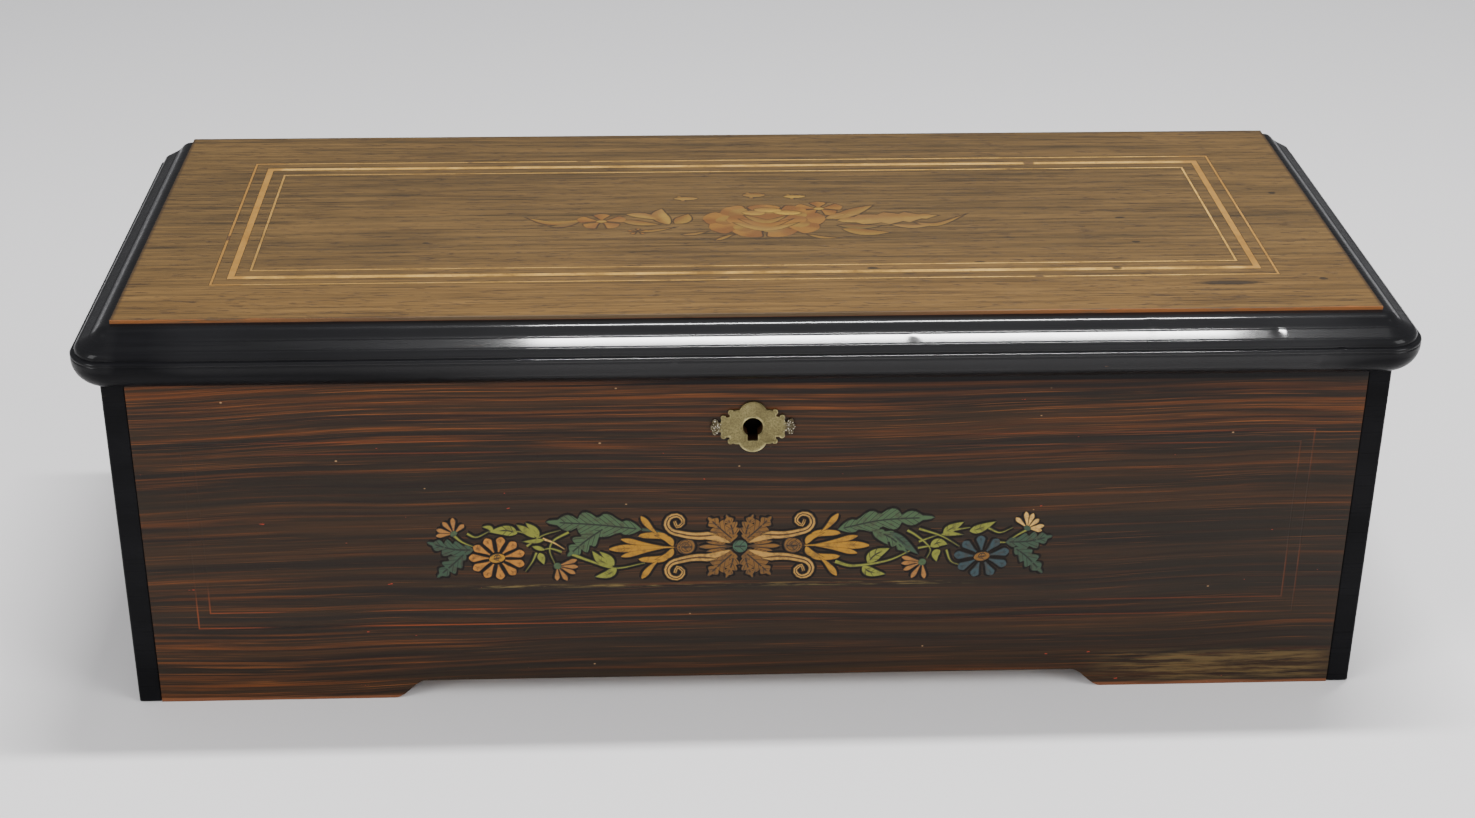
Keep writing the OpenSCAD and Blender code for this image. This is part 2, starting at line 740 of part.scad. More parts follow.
// One eighth of the rounded front corner, starting at the given angle
module moulding_corner(side, start) {
    translate([side * panel_x, panel_inset, lid_z])
    rotate([0, 0, start])
    rotate_extrude(angle = 45, $fn = 96)
    moulding_profile();
}

module moulding_front() {
    color([0.08, 0.08, 0.09])
    at_case() {
        translate([panel_x, panel_inset, lid_z])
        rotate([90, 0, -90])
        linear_extrude(height = 2 * panel_x)
        moulding_profile();
        moulding_corner(-1, 225);
        moulding_corner(1, 270);
    }
}

module moulding_left() {
    color([0.08, 0.08, 0.09])
    at_case() {
        translate([-panel_x, panel_inset, lid_z])
        rotate([90, 0, 180])
        linear_extrude(height = case_d - panel_inset)
        moulding_profile();
        moulding_corner(-1, 180);
    }
}

module moulding_right() {
    color([0.08, 0.08, 0.09])
    at_case() {
        translate([panel_x, case_d, lid_z])
        rotate([90, 0, 0])
        linear_extrude(height = case_d - panel_inset)
        moulding_profile();
        moulding_corner(1, 315);
    }
}

// ------------------------------------------------------------------ lid hinges

// Both lid hinges' leaves of one side: z0 and z1 bound the leaf, part names its knuckles
module hinge_leaves(z0, z1, part, bore_gap) {
    third = hinge_len / 3;
    for (s = [-1, 1])
    difference() {
        union() {
            block([s * hinge_x - hinge_len / 2, case_d - leaf_w, z0],
                  [s * hinge_x + hinge_len / 2, hinge_y, z1]);
            translate([s * hinge_x, hinge_y, hinge_z]) knuckle_run(hinge_len, knuckle_r, part, side_gap);
        }
        translate([s * hinge_x, hinge_y, hinge_z]) {
            bar_x(hinge_pin_r + bore_gap, -hinge_len, hinge_len, 0, 0, 32);
            if (part == "outer") {
                bar_x(knuckle_r + side_gap, -third / 2 - side_gap / 2, third / 2 + side_gap / 2, 0, 0, 32);
            } else {
                bar_x(knuckle_r + side_gap, -hinge_len, -third / 2 + side_gap / 2, 0, 0, 32);
                bar_x(knuckle_r + side_gap, third / 2 - side_gap / 2, hinge_len, 0, 0, 32);
            }
        }
        for (t = [-1, 1])
        if (part == "outer") case_hinge_screw_at(s, t) flush_hole();
        else lid_hinge_screw_at(s, t) flush_hole();
    }
}

module case_hinge_leaves() {
    color([0.72, 0.56, 0.28])
    at_case() hinge_leaves(case_h - leaf_t, case_h, "outer", seat_fit);
}

module lid_hinge_leaves() {
    color([0.72, 0.56, 0.28])
    at_case() hinge_leaves(lid_z, lid_z + leaf_t, "middle", run_fit);
}

module hinge_pins() {
    color([0.60, 0.60, 0.60])
    at_case()
    for (s = [-1, 1])
    translate([s * hinge_x, 0, 0])
    bar_x(hinge_pin_r, -hinge_len / 2 - 0.6, hinge_len / 2 + 0.6, hinge_y, hinge_z, 32);
}

module case_screws() {
    color([0.72, 0.56, 0.28])
    at_case()
    for (s = [-1, 1], t = [-1, 1]) case_hinge_screw_at(s, t) flush_screw();
}

module lid_screws() {
    color([0.72, 0.56, 0.28])
    at_case()
    for (s = [-1, 1]) {
        for (t = [-1, 1]) lid_hinge_screw_at(s, t) flush_screw();
        strike_screw_at(s) flush_screw();
    }
}

// ------------------------------------------------------------------ bedplate and bridges

bed_x0 = room_x0 + 2;
bed_x1 = room_x1 - 3;
bed_y0 = axis_y - bed_front;
bed_y1 = axis_y + bed_back;
bed_shank_r = 2;
bearer_w = 16;
bed_screw_inset = 12;
frame_head_r = 3.2;
frame_head_h = 2.2;
frame_shank_r = 1.5;
frame_shank = 9;
foot_t = 6;
bed_head_r = 4;
bed_head_h = 2.4;
bearer_h = bed_top - bed_t - floor_top;
bearer_bite = 0.47;
bed_shank = bed_t + bearer_h * bearer_bite;
arbor_eye_r = 8;
wind_eye_r = 9;

// Axes of the spring drive
wind_y = axis_y - (drive_wheel_n + drive_pinion_n) * drive_m / 2 - mesh_gap;
wind_z = axis_z;
drive_room = 23;
drive_x0 = cyl_x0 - drive_room;
drive_w = 5;
barrel_x1 = drive_x0 + drive_w;
barrel_x0 = barrel_x1 - barrel_len;
bridge_gap = 5;
bridge_w = 7;
left_bridge_x0 = barrel_x1 + bridge_gap;
left_bridge_x1 = left_bridge_x0 + bridge_w;

// Axes of the governor train
great_room = 9.5;
great_x0 = cyl_x0 + cyl_len + great_room;
great_w = 3;
first_d = (great_n + first_pinion_n) * great_m / 2 + mesh_gap;
first_a = -11;
second_y = axis_y + first_d * cos(first_a);
second_z = axis_z + first_d * sin(first_a);
second_d = (second_n + second_pinion_n) * second_m / 2 + mesh_gap;
second_a = 143;
third_y = second_y + second_d * cos(second_a);
third_z = second_z + second_d * sin(second_a);
fly_y = third_y - worm_n * worm_m / 2 - worm_r - mesh_gap;
wheel_gap = 3.5;
post_w = 6;
right_bridge_x0 = great_x0 + great_w + wheel_gap;
right_bridge_x1 = right_bridge_x0 + post_w;
bridge_foot_front = 18;
bridge_foot_back = 19;
bridge_lip = 2;
bridge_screw_y = [wind_y - 12, axis_y + 13];
post_half = 11;
post_foot_half = 21;
post_screw = 16;
gov_gap = 4;
gov_x0 = right_bridge_x1 + gov_gap;
gov_plate_t = 3;
second_gap = 3;
second_x = gov_x0 + gov_plate_t + second_gap;
worm_wheel_w = 1.6;
fly_room = 8.5;
fly_side = 10.5;
fly_x = second_x + fly_room;
gov_x1 = fly_x + fly_side;

// Wood screws through the bedplate: those on the right stand in front of the governor
module bed_screws_at() {
    for (y = [bed_y0 + 6, bed_y1 - 6]) translate([bed_x0 + bed_screw_inset, y, bed_top]) children();
    for (y = [bed_y0 + 6, gov_y0 - 10]) translate([bed_x1 - bed_screw_inset, y, bed_top]) children();
}

// Every screw that holds a bridge, bracket or frame down to the bedplate
module frame_screws_at() {
    for (y = bridge_screw_y) translate([left_bridge_x0 + 3.5, y, bed_top + foot_t]) children();
    for (s = [-1, 1]) translate([right_bridge_x0 + 3, axis_y + s * post_screw, bed_top + foot_t]) children();
    for (s = [-1, 1]) translate([bracket_x0 + 3, wind_y + s * post_screw, bed_top + foot_t]) children();
    for (y = gov_screw_y) translate([gov_screw_x, y, bed_top + foot_t]) children();
}

comb_screw_n = 9;
comb_shank = 10;

module comb_screws_at() {
    for (i = [0 : comb_screw_n - 1])
    translate([comb_x0 + comb_len * (i + 0.5) / comb_screw_n, comb_y0 + 6, comb_top])
    children();
}

module bed_bearers() {
    color([0.30, 0.20, 0.12])
    at_case()
    difference() {
        for (x = [bed_x0 + bed_screw_inset, bed_x1 - bed_screw_inset])
        block([x - bearer_w / 2, bed_y0, floor_top], [x + bearer_w / 2, bed_y1, bed_top - bed_t]);
        bed_screws_at() screw_hole(bed_shank_r, bed_top);
    }
}

module bedplate() {
    color([0.74, 0.60, 0.32])
    at_case()
    difference() {
        block([bed_x0, bed_y0, bed_top - bed_t], [bed_x1, bed_y1, bed_top]);
        bed_screws_at() screw_hole(bed_shank_r, bed_top);
        frame_screws_at() screw_hole(frame_shank_r, frame_shank);
    }
}

// Bearing plate across X with an eye at each given (y, z, radius of eye, radius of bore)
module bearing_plate(x0, x1, y0, y1, eyes, base_z) {
    difference() {
        union() {
            plate_x(x0, x1)
            hull() {
                translate([y0, base_z]) square([y1 - y0, 1]);
                for (e = eyes) translate([e[0], e[1]]) circle(r = e[2], $fn = 32);
            }
            for (e = eyes) bar_x(e[2] + 0.6, x0, x1, e[0], e[1]);
        }
        for (e = eyes) bar_x(e[3], x0 - 1, x1 + 1, e[0], e[1]);
    }
}

module left_bridge() {
    foot_y0 = wind_y - bridge_foot_front;
    foot_y1 = axis_y + bridge_foot_back;
    color([0.76, 0.62, 0.33])
    at_case()
    difference() {
        union() {
            bearing_plate(left_bridge_x0 + bridge_lip, left_bridge_x1 - 1,
                          foot_y0 + bridge_lip, foot_y1 - bridge_lip,
                          [[wind_y, wind_z, wind_eye_r, wind_r + run_fit],
                           [axis_y, axis_z, arbor_eye_r, arbor_r + run_fit]],
                          bed_top + foot_t - 1);
            block([left_bridge_x0, foot_y0, bed_top], [left_bridge_x1, foot_y1, bed_top + foot_t]);
        }
        for (y = bridge_screw_y)
        block([left_bridge_x0 - 1, y - frame_head_r - 1, bed_top + foot_t],
              [left_bridge_x1 + 1, y + frame_head_r + 1, bed_top + foot_t + frame_head_h + 1]);
        frame_screws_at() screw_hole(frame_shank_r, frame_shank);
    }
}

module right_bridge() {
    color([0.76, 0.62, 0.33])
    at_case()
    difference() {
        union() {
            bearing_plate(right_bridge_x0 + 1, right_bridge_x1 - 1, axis_y - post_half, axis_y + post_half,
                          [[axis_y, axis_z, arbor_eye_r, arbor_r + run_fit]], bed_top + foot_t - 1);
            block([right_bridge_x0, axis_y - post_foot_half, bed_top],
                  [right_bridge_x1, axis_y + post_foot_half, bed_top + foot_t]);
        }
        frame_screws_at() screw_hole(frame_shank_r, frame_shank);
    }
}

bracket_gap = 2;
bracket_x1 = barrel_x0 - bracket_gap;
bracket_x0 = bracket_x1 - post_w;

module barrel_bracket() {
    color([0.76, 0.62, 0.33])
    at_case()
    difference() {
        union() {
            bearing_plate(bracket_x0 + 1, bracket_x1, wind_y - post_half, wind_y + post_half,
                          [[wind_y, wind_z, wind_eye_r, wind_r + run_fit]], bed_top + foot_t - 1);
            block([bracket_x0, wind_y - post_foot_half, bed_top],
                  [bracket_x1, wind_y + post_foot_half, bed_top + foot_t]);
        }
        frame_screws_at() screw_hole(frame_shank_r, frame_shank);
    }
}

module movement_screws() {
    color([0.30, 0.38, 0.55])
    at_case() {
        bed_screws_at() screw(bed_head_r, bed_head_h, bed_shank_r, bed_shank);
        frame_screws_at() screw(frame_head_r, frame_head_h, frame_shank_r, frame_shank);
        comb_screws_at() screw(frame_head_r, frame_head_h, frame_shank_r, comb_shank);
    }
}

// ------------------------------------------------------------------ comb

pin_circle = cyl_r + pin_h;
comb_tip_y = axis_y - pin_circle - tip_gap;
comb_len = teeth * tooth_pitch;
comb_x0 = cyl_x0 + (cyl_len - comb_len) / 2 - tunes * tune_step / 2;
comb_top = axis_z + tooth_t / 2;
heel_w = 13;
comb_y0 = comb_tip_y - tooth_long - heel_w;

function tooth_x(i) = comb_x0 + (i + 0.5) * tooth_pitch;
function tooth_len(i) = tooth_long + (tooth_short - tooth_long) * i / (teeth - 1);
function root_y(i) = comb_tip_y - tooth_len(i);

// One tooth, drawn from its left root round its tapered tip to its right root
function tooth_outline(i) = let(half = (tooth_pitch - slit_w) / 2, tip = 0.5, taper = 5) [
    [tooth_x(i) - half, root_y(i)],
    [tooth_x(i) - half, comb_tip_y - taper],
    [tooth_x(i) - tip, comb_tip_y],
    [tooth_x(i) + tip, comb_tip_y],
    [tooth_x(i) + half, comb_tip_y - taper],
    [tooth_x(i) + half, root_y(i)],
];

module comb() {
    color([0.62, 0.64, 0.66])
    at_case()
    difference() {
        union() {
            translate([0, 0, comb_top - tooth_t])
            linear_extrude(height = tooth_t)
            polygon(concat([for (i = [0 : teeth - 1]) each tooth_outline(i)],
                           [[comb_x0 + comb_len, comb_y0], [comb_x0, comb_y0]]));
            translate([0, 0, comb_top - comb_t])
            linear_extrude(height = comb_t)
            polygon([[comb_x0, comb_y0], [comb_x0, root_y(0) - 1.5],
                     [comb_x0 + comb_len, root_y(teeth - 1) - 1.5], [comb_x0 + comb_len, comb_y0]]);
        }
        comb_screws_at() screw_hole(frame_shank_r, comb_t);
    }
}

module comb_base() {
    bevel = 6;
    end_over = 3;
    front_over = 4;
    color([0.76, 0.62, 0.33])
    at_case()
    difference() {
        translate([0, 0, bed_top])
        linear_extrude(height = comb_top - comb_t - bed_top)
        polygon([[comb_x0 - end_over, comb_y0 - front_over],
                 [comb_x0 - end_over, root_y(0) - front_over],
                 [comb_x0 + comb_len + end_over, root_y(teeth - 1) - front_over],
                 [comb_x0 + comb_len + end_over, comb_y0 - front_over]]);
        translate([comb_x0 - end_over - 1, comb_y0 - front_over, comb_top - comb_t - bevel])
        rotate([45, 0, 0])
        translate([0, -bevel, 0]) cube([comb_len + 2 * end_over + 2, bevel, 2 * bevel]);
        comb_screws_at() screw_hole(frame_shank_r, comb_shank);
    }
}

// Lead weights under the bass teeth: the lower the note, the larger the weight
module comb_weights() {
    weighted = floor(teeth * 0.4);
    color([0.40, 0.40, 0.42])
    at_case()
    for (i = [0 : weighted - 1]) {
        share = 1 - i / weighted;
        half = (tooth_pitch - slit_w) / 2 - 0.15;
        deep = 1.2 + 3.6 * share;
        block([tooth_x(i) - half, comb_tip_y - 6 - 5 * share, comb_top - tooth_t - deep],
              [tooth_x(i) + half, comb_tip_y - 3.5, comb_top - tooth_t]);
    }
}

// ------------------------------------------------------------------ wheels

function ring_point(r, a) = [r * cos(a), r * sin(a)];

// One tooth at angle a: each row of form is a height and a half width, in modules, up one flank
function tooth_points(n, m, a, form) = let(rp = n * m / 2, rows = len(form)) [
    for (i = [0 : 2 * rows - 1])
    let(up = i < rows, row = up ? form[i] : form[2 * rows - 1 - i])
    ring_point(rp + row[0] * m, a + (up ? -1 : 1) * row[1] * m / rp * 180 / PI)
];

wheel_form = [[-1.3, 0.68], [0, 0.68], [0.55, 0.5], [0.95, 0.2]];
leaf_form = [[-1.4, 0.36], [0, 0.5], [0.6, 0.28]];

// Toothed outline whose first tooth points along angle a
module gear_outline(n, m, form, a) {
    polygon([for (k = [0 : n - 1]) each tooth_points(n, m, a + 360 * k / n, form)]);
}

// Spokes left between round-cornered windows in a wheel
module spoke_windows(r_in, r_out, spokes, spoke_w) {
    difference() {
        circle(r = r_out, $fn = smooth);
        circle(r = r_in, $fn = smooth);
        for (k = [0 : spokes - 1])
        rotate(360 * k / spokes)
        translate([0, -spoke_w / 2])
        square([r_out + 1, spoke_w]);
    }
}

// ------------------------------------------------------------------ cylinder

cap_t = 3;
shift_pin_r = 0.8;
snail_r = 8.5;
snail_d = arbor_r + snail_r + 1.2;
snail_base = 1.2;
snail_rim = 0.3;
snail_x1 = great_x0 - 0.3;
snail_track = 6;
snail_stud_r = 1.8;
snail_rise = (tunes - 1) * tune_step;

module pinned_cylinder() {
    color([0.78, 0.64, 0.35])
    at_case() {
        difference() {
            bar_x(cyl_r, cyl_x0, cyl_x0 + cyl_len, axis_y, axis_z, 128);
            bar_x(cyl_r - cyl_wall, cyl_x0 + cap_t, cyl_x0 + cyl_len - cap_t, axis_y, axis_z, 128);
            bar_x(arbor_r + run_fit, cyl_x0 - 1, cyl_x0 + cyl_len + 1, axis_y, axis_z);
        }
        bar_x(shift_pin_r, cyl_x0 + cyl_len - eps, snail_x1 - snail_base - side_gap,
              axis_y, axis_z - snail_d - snail_track, 32);
    }
}

pins_per_tooth = 6;

// The pins of all the tunes: each stands in the track of one tooth, a small step aside for each tune
module cylinder_pins() {
    color([0.62, 0.60, 0.55])
    at_case()
    for (i = [0 : teeth - 1]) {
        turns = rands(0, 360, pins_per_tooth, 17 * i + 3);
        airs = rands(0, tunes, pins_per_tooth, 31 * i + 5);
        for (j = [0 : pins_per_tooth - 1])
        translate([tooth_x(i) + floor(airs[j]) * tune_step, axis_y, axis_z])
        rotate([turns[j], 0, 0])
        translate([0, 0, cyl_r])
        cylinder(r = pin_r, h = pin_h, $fn = 16);
    }
}

arbor_x0 = drive_x0 - 1;
arbor_x1 = right_bridge_x1 + 1.5;

module cylinder_arbor() {
    color([0.55, 0.56, 0.58])
    at_case() bar_x(arbor_r, arbor_x0, arbor_x1, axis_y, axis_z);
}

module drive_pinion() {
    color([0.55, 0.56, 0.58])
    at_case()
    difference() {
        translate([0, axis_y, axis_z])
        plate_x(drive_x0 - 0.5, barrel_x1 + 0.5)
        gear_outline(drive_pinion_n, drive_m, leaf_form, 180 + 180 / drive_pinion_n);
        bar_x(arbor_r + seat_fit, drive_x0 - 2, barrel_x1 + 2, axis_y, axis_z);
    }
}

module great_wheel() {
    color([0.78, 0.64, 0.35])
    at_case()
    difference() {
        union() {
            translate([0, axis_y, axis_z])
            plate_x(great_x0, great_x0 + great_w)
            difference() {
                gear_outline(great_n, great_m, wheel_form, first_a);
                rotate(45) spoke_windows(arbor_r + 5, great_n * great_m / 2 - 5.5, 4, 7);
            }
            bar_x(snail_r * 0.7, great_x0, great_x0 + great_w, axis_y, axis_z - snail_d);
            bar_x(snail_stud_r, snail_x1 - snail_base - snail_rise - side_gap, great_x0 + eps,
                  axis_y, axis_z - snail_d, 32);
            bar_x(arbor_r + 3, great_x0, great_x0 + great_w + 2, axis_y, axis_z);
        }
        bar_x(arbor_r + seat_fit, great_x0 - 1, great_x0 + great_w + 3, axis_y, axis_z);
    }
}

// Sector of the cam's steps that starts at angle 0 and spans the given angle
module snail_sector(span) {
    chords = ceil(span / 15);
    polygon(concat([[0, 0]], [for (i = [0 : chords]) ring_point(snail_r - snail_rim, span * i / chords)]));
}

// Stepped cam that moves the cylinder sideways by one step for each tune
module snail_cam() {
    sector = 360 / tunes;
    lead_in = sector * 0.2;
    color([0.74, 0.58, 0.28])
    at_case()
    difference() {
        union() {
            bar_x(snail_r, snail_x1 - snail_base, snail_x1, axis_y, axis_z - snail_d);
            translate([0, axis_y, axis_z - snail_d])
            for (k = [1 : tunes - 1])
            plate_x(snail_x1 - snail_base - k * tune_step, snail_x1 - snail_base / 2)
            rotate(lead_in - 90)
            snail_sector(360 - k * sector);
        }
        bar_x(snail_stud_r + run_fit, snail_x1 - 9, snail_x1 + 1, axis_y, axis_z - snail_d, 32);
    }
}

// ------------------------------------------------------------------ spring drive

barrel_inner_r = barrel_r - barrel_wall;
cover_t = 2;

module spring_barrel() {
    color([0.78, 0.64, 0.35])
    at_case()
    difference() {
        union() {
            bar_x(barrel_r, barrel_x0, drive_x0 + eps, wind_y, wind_z, 96);
            translate([0, wind_y, wind_z])
            plate_x(drive_x0, barrel_x1)
            gear_outline(drive_wheel_n, drive_m, wheel_form, 0);
        }
        bar_x(barrel_inner_r, barrel_x0 - 1, drive_x0, wind_y, wind_z, 96);
        bar_x(wind_r + run_fit, barrel_x0 - 1, barrel_x1 + 1, wind_y, wind_z);
    }
}

// Snap-in cover of the barrel
module barrel_cover() {
    color([0.80, 0.66, 0.36])
    at_case()
    difference() {
        bar_x(barrel_inner_r - seat_fit, barrel_x0, barrel_x0 + cover_t, wind_y, wind_z, 96);
        bar_x(wind_r + run_fit, barrel_x0 - 1, barrel_x0 + cover_t + 1, wind_y, wind_z);
    }
}

// Mainspring: a flat spiral from the arbor to the barrel wall
module mainspring() {
    coils = 5;
    strip_t = 0.9;
    r_in = wind_r + 0.4;
    r_out = barrel_inner_r - strip_t - 0.3;
    steps = coils * 20;
    function spiral(i, extra) =
        ring_point(r_in + (r_out - r_in) * i / steps + extra, 360 * coils * i / steps);
    outer = [for (i = [0 : steps]) spiral(i, strip_t)];
    inner = [for (i = [steps : -1 : 0]) spiral(i, 0)];
    color([0.28, 0.32, 0.42])
    at_case()
    translate([0, wind_y, wind_z])
    plate_x(barrel_x0 + cover_t + side_gap, drive_x0 - side_gap)
    polygon(concat(outer, inner));
}

ratchet_w = 3;
ratchet_x1 = left_wall_x - 5;
ratchet_x0 = ratchet_x1 - ratchet_w;
lever_rest = 40;
hub_w = 9;
hub_r = 9;
hub_x1 = ratchet_x0 - side_gap;
hub_x0 = hub_x1 - hub_w;
arm_t = 3.5;
arm_x0 = hub_x0 + 1;
nut_w = 4;
wind_x0 = hub_x0 - side_gap - nut_w;

module winding_arbor() {
    color([0.55, 0.56, 0.58])
    at_case()
    union() {
        bar_x(wind_r, wind_x0 - 2, left_bridge_x1, wind_y, wind_z);
        bar_x(wind_r * 1.8, wind_x0, wind_x0 + nut_w, wind_y, wind_z, 6);
    }
}

module ratchet_wheel() {
    step = 360 / ratchet_n;
    color([0.60, 0.60, 0.62])
    at_case()
    difference() {
        translate([0, wind_y, wind_z])
        plate_x(ratchet_x0, ratchet_x1)
        polygon([for (k = [0 : ratchet_n - 1])
            each [ring_point(ratchet_r, k * step), ring_point(ratchet_r - 2, k * step + step * 0.12)]]);
        bar_x(wind_r + seat_fit, ratchet_x0 - 1, ratchet_x1 + 1, wind_y, wind_z);
    }
}

pawl_r = 26;
pawl_a = 7;
pawl_stud_r = 1.6;
pawl_len = 19;
pawl_half = 1.8;

// Everything on the lever is drawn along +Y and turned up to its rest
module on_lever() {
    translate([0, wind_y, wind_z]) rotate([lever_rest, 0, 0]) children();
}

module winding_lever() {
    arm_half = 3.5;
    color([0.74, 0.60, 0.32])
    at_case()
    on_lever()
    difference() {
        union() {
            bar_x(hub_r, hub_x0, hub_x1, 0, 0);
            plate_x(arm_x0, arm_x0 + arm_t)
            polygon([[0, -arm_half * 1.8], [lever_len - handle_r * 0.7, -arm_half],
                     [lever_len - handle_r * 0.7, arm_half], [0, arm_half * 1.8]]);
            translate([0, pawl_r * cos(pawl_a), pawl_r * sin(pawl_a)]) {
                bar_x(4, arm_x0, arm_x0 + arm_t, 0, 0, 32);
                bar_x(pawl_stud_r, arm_x0, ratchet_x1, 0, 0, 32);
            }
            translate([arm_x0 + arm_t / 2, lever_len, 0])
            rotate([90, 0, 0])
            rotate_extrude($fn = smooth)
            handle_section();
        }
        bar_x(wind_r + run_fit, hub_x0 - 1, hub_x1 + 1, 0, 0);
    }
}

// Turned handle: a ball on a collared neck
module handle_section() {
    intersection() {
        union() {
            circle(r = handle_r, $fn = smooth);
            translate([0, handle_r * 0.8]) square([handle_r * 0.55, handle_r * 0.6]);
            translate([0, handle_r * 1.2]) square([handle_r * 0.7, handle_r * 0.2]);
        }
        translate([0, -2 * handle_r]) square([2 * handle_r, 4 * handle_r]);
    }
}

module lever_pawl() {
    from_y = pawl_r * cos(pawl_a);
    from_z = pawl_r * sin(pawl_a);
    color([0.60, 0.60, 0.62])
    at_case()
    on_lever()
    translate([0, from_y, from_z])
    difference() {
        plate_x(ratchet_x0, ratchet_x1)
        union() {
            circle(r = 3.6, $fn = 32);
            rotate(pawl_lean)
            translate([0, -pawl_half])
            square([pawl_len, 2 * pawl_half]);
        }
        bar_x(pawl_stud_r + run_fit, ratchet_x0 - 1, ratchet_x1 + 1, 0, 0, 32);
    }
}

// Lean of an arm whose inner edge passes the ratchet's tooth tips with side_gap to spare
function tangent_lean(d, half) = asin((ratchet_r + side_gap + half) / d);
pawl_lean = 180 + pawl_a + tangent_lean(pawl_r, pawl_half);

stud_r = 2;
click_d = 31;
click_a = 215;
click_half = 1.6;
click_len = 24;
spring_a = 238;
spring_d = 44;

function click_y(s) = s == 0 ? wind_y + click_d * cos(click_a) : wind_y + spring_d * cos(spring_a);
function click_z(s) = s == 0 ? wind_z + click_d * sin(click_a) : wind_z + spring_d * sin(spring_a);
click_lean = click_a - 180 - tangent_lean(click_d, click_half);

module click() {
    color([0.60, 0.60, 0.62])
    at_case()
    translate([0, click_y(0), click_z(0)])
    difference() {
        plate_x(ratchet_x0, ratchet_x1)
        union() {
            circle(r = 4, $fn = 32);
            rotate(click_lean)
            translate([0, -click_half])
            square([click_len, 2 * click_half]);
        }
        bar_x(stud_r + run_fit, ratchet_x0 - 1, ratchet_x1 + 1, 0, 0, 32);
    }
}

// Studs of the click and its spring in the partition, with the flat spring that presses the click
module click_fittings() {
    color([0.58, 0.60, 0.66])
    at_case() {
        for (s = [0, 1]) {
            bar_x(stud_r, ratchet_x0 - side_gap, left_wall_x + 4, click_y(s), click_z(s), 32);
            bar_x(stud_r * 1.7, ratchet_x0 - side_gap - 1.5, ratchet_x0 - side_gap,
                  click_y(s), click_z(s), 32);
            bar_x(stud_r * 1.5, ratchet_x1 + side_gap, left_wall_x, click_y(s), click_z(s), 32);
        }
        plate_x(ratchet_x0 + 0.5, ratchet_x1 - 0.5)
        spring_outline();
    }
}

// A flat spring from its stud to a point just under the click
module spring_outline() {
    end_y = click_y(0) + 9 * cos(click_lean) + 4.6 * sin(click_lean);
    end_z = click_z(0) + 9 * sin(click_lean) - 4.6 * cos(click_lean);
    run = [end_y - click_y(1), end_z - click_z(1)];
    dir = run / norm(run);
    side = [-dir[1], dir[0]] * 0.45;
    base = [click_y(1), click_z(1)];
    union() {
        difference() {
            translate(base) circle(r = stud_r * 1.7, $fn = 32);
            translate(base) circle(r = stud_r + seat_fit, $fn = 32);
        }
        polygon([base + dir * (stud_r + 0.8) + side, base + run + side, base + run - side,
                 base + dir * (stud_r + 0.8) - side]);
    }
}

// ------------------------------------------------------------------ governor

train_r = 1.5;
pivot_r = 1;
gov_front = 16;
gov_back = 19;
gov_y0 = fly_y - gov_front;
gov_y1 = second_y + gov_back;
gov_screw_inset = 5;
gov_screw_x = gov_x1 + gov_plate_t - gov_screw_inset;
gov_screw_y = [gov_y0 + gov_screw_inset, gov_y1 - gov_screw_inset];
gov_eye_r = 5;
fly_eye_r = 4;
fly_arbor_r = 0.9;
fly_z0 = third_z + worm_n * worm_m / 2 + 1.7;
fly_z1 = fly_z0 + fly_h;
worm_half = 4.5;
foot_z = third_z - worm_half - 4;
cock_z = fly_z1 + 1.5;
cock_t = 3;

module governor_frame() {
    eyes_left = [[second_y, second_z, gov_eye_r, train_r + run_fit],
                 [third_y, third_z, fly_eye_r, train_r + run_fit]];
    eyes_right = [[second_y, second_z, gov_eye_r, pivot_r + run_fit],
                  [third_y, third_z, fly_eye_r, pivot_r + run_fit]];
    color([0.76, 0.62, 0.33])
    at_case()
    difference() {
        union() {
            block([gov_x0, gov_y0, bed_top], [gov_x1 + gov_plate_t, gov_y1, bed_top + foot_t]);
            bearing_plate(gov_x0, gov_x0 + gov_plate_t, third_y - 6, second_y + 6,
                          eyes_left, bed_top + foot_t - 1);
            bearing_plate(gov_x1, gov_x1 + gov_plate_t, third_y - 6, second_y + 6,
                          eyes_right, bed_top + foot_t - 1);
            translate([fly_x, fly_y, bed_top + foot_t - 1])
            cylinder(r1 = 6, r2 = 3, h = foot_z - bed_top - foot_t + 1, $fn = 32);
            block([fly_x - 4, gov_y1 - 4, bed_top], [fly_x + 4, gov_y1, cock_z + cock_t]);
            block([fly_x - 3, fly_y, cock_z], [fly_x + 3, gov_y1, cock_z + cock_t]);
            translate([fly_x, fly_y, cock_z]) cylinder(r = 4.5, h = cock_t, $fn = 32);
        }
        translate([fly_x, fly_y, foot_z - 3])
        cylinder(r = fly_arbor_r + run_fit, h = cock_z + cock_t - foot_z + 4, $fn = 32);
        frame_screws_at() screw_hole(frame_shank_r, frame_shank);
        for (y = gov_screw_y)
        translate([gov_screw_x, y, bed_top + foot_t])
        cylinder(r = frame_head_r + 0.4, h = frame_head_h + 1, $fn = 32);
    }
}

module second_wheel() {
    mesh_a = first_a + 180;
    color([0.78, 0.64, 0.35])
    at_case()
    translate([0, second_y, second_z])
    union() {
        bar_x(train_r, great_x0 - 1, gov_x1, 0, 0, 32);
        bar_x(pivot_r, gov_x1 - eps, gov_x1 + gov_plate_t, 0, 0, 32);
        plate_x(great_x0 - 0.6, great_x0 + great_w + 0.6)
        gear_outline(first_pinion_n, great_m, leaf_form, mesh_a + 180 / first_pinion_n);
        plate_x(second_x, second_x + 2)
        difference() {
            gear_outline(second_n, second_m, wheel_form, second_a);
            spoke_windows(4, second_n * second_m / 2 - 3.2, 4, 3);
        }
    }
}

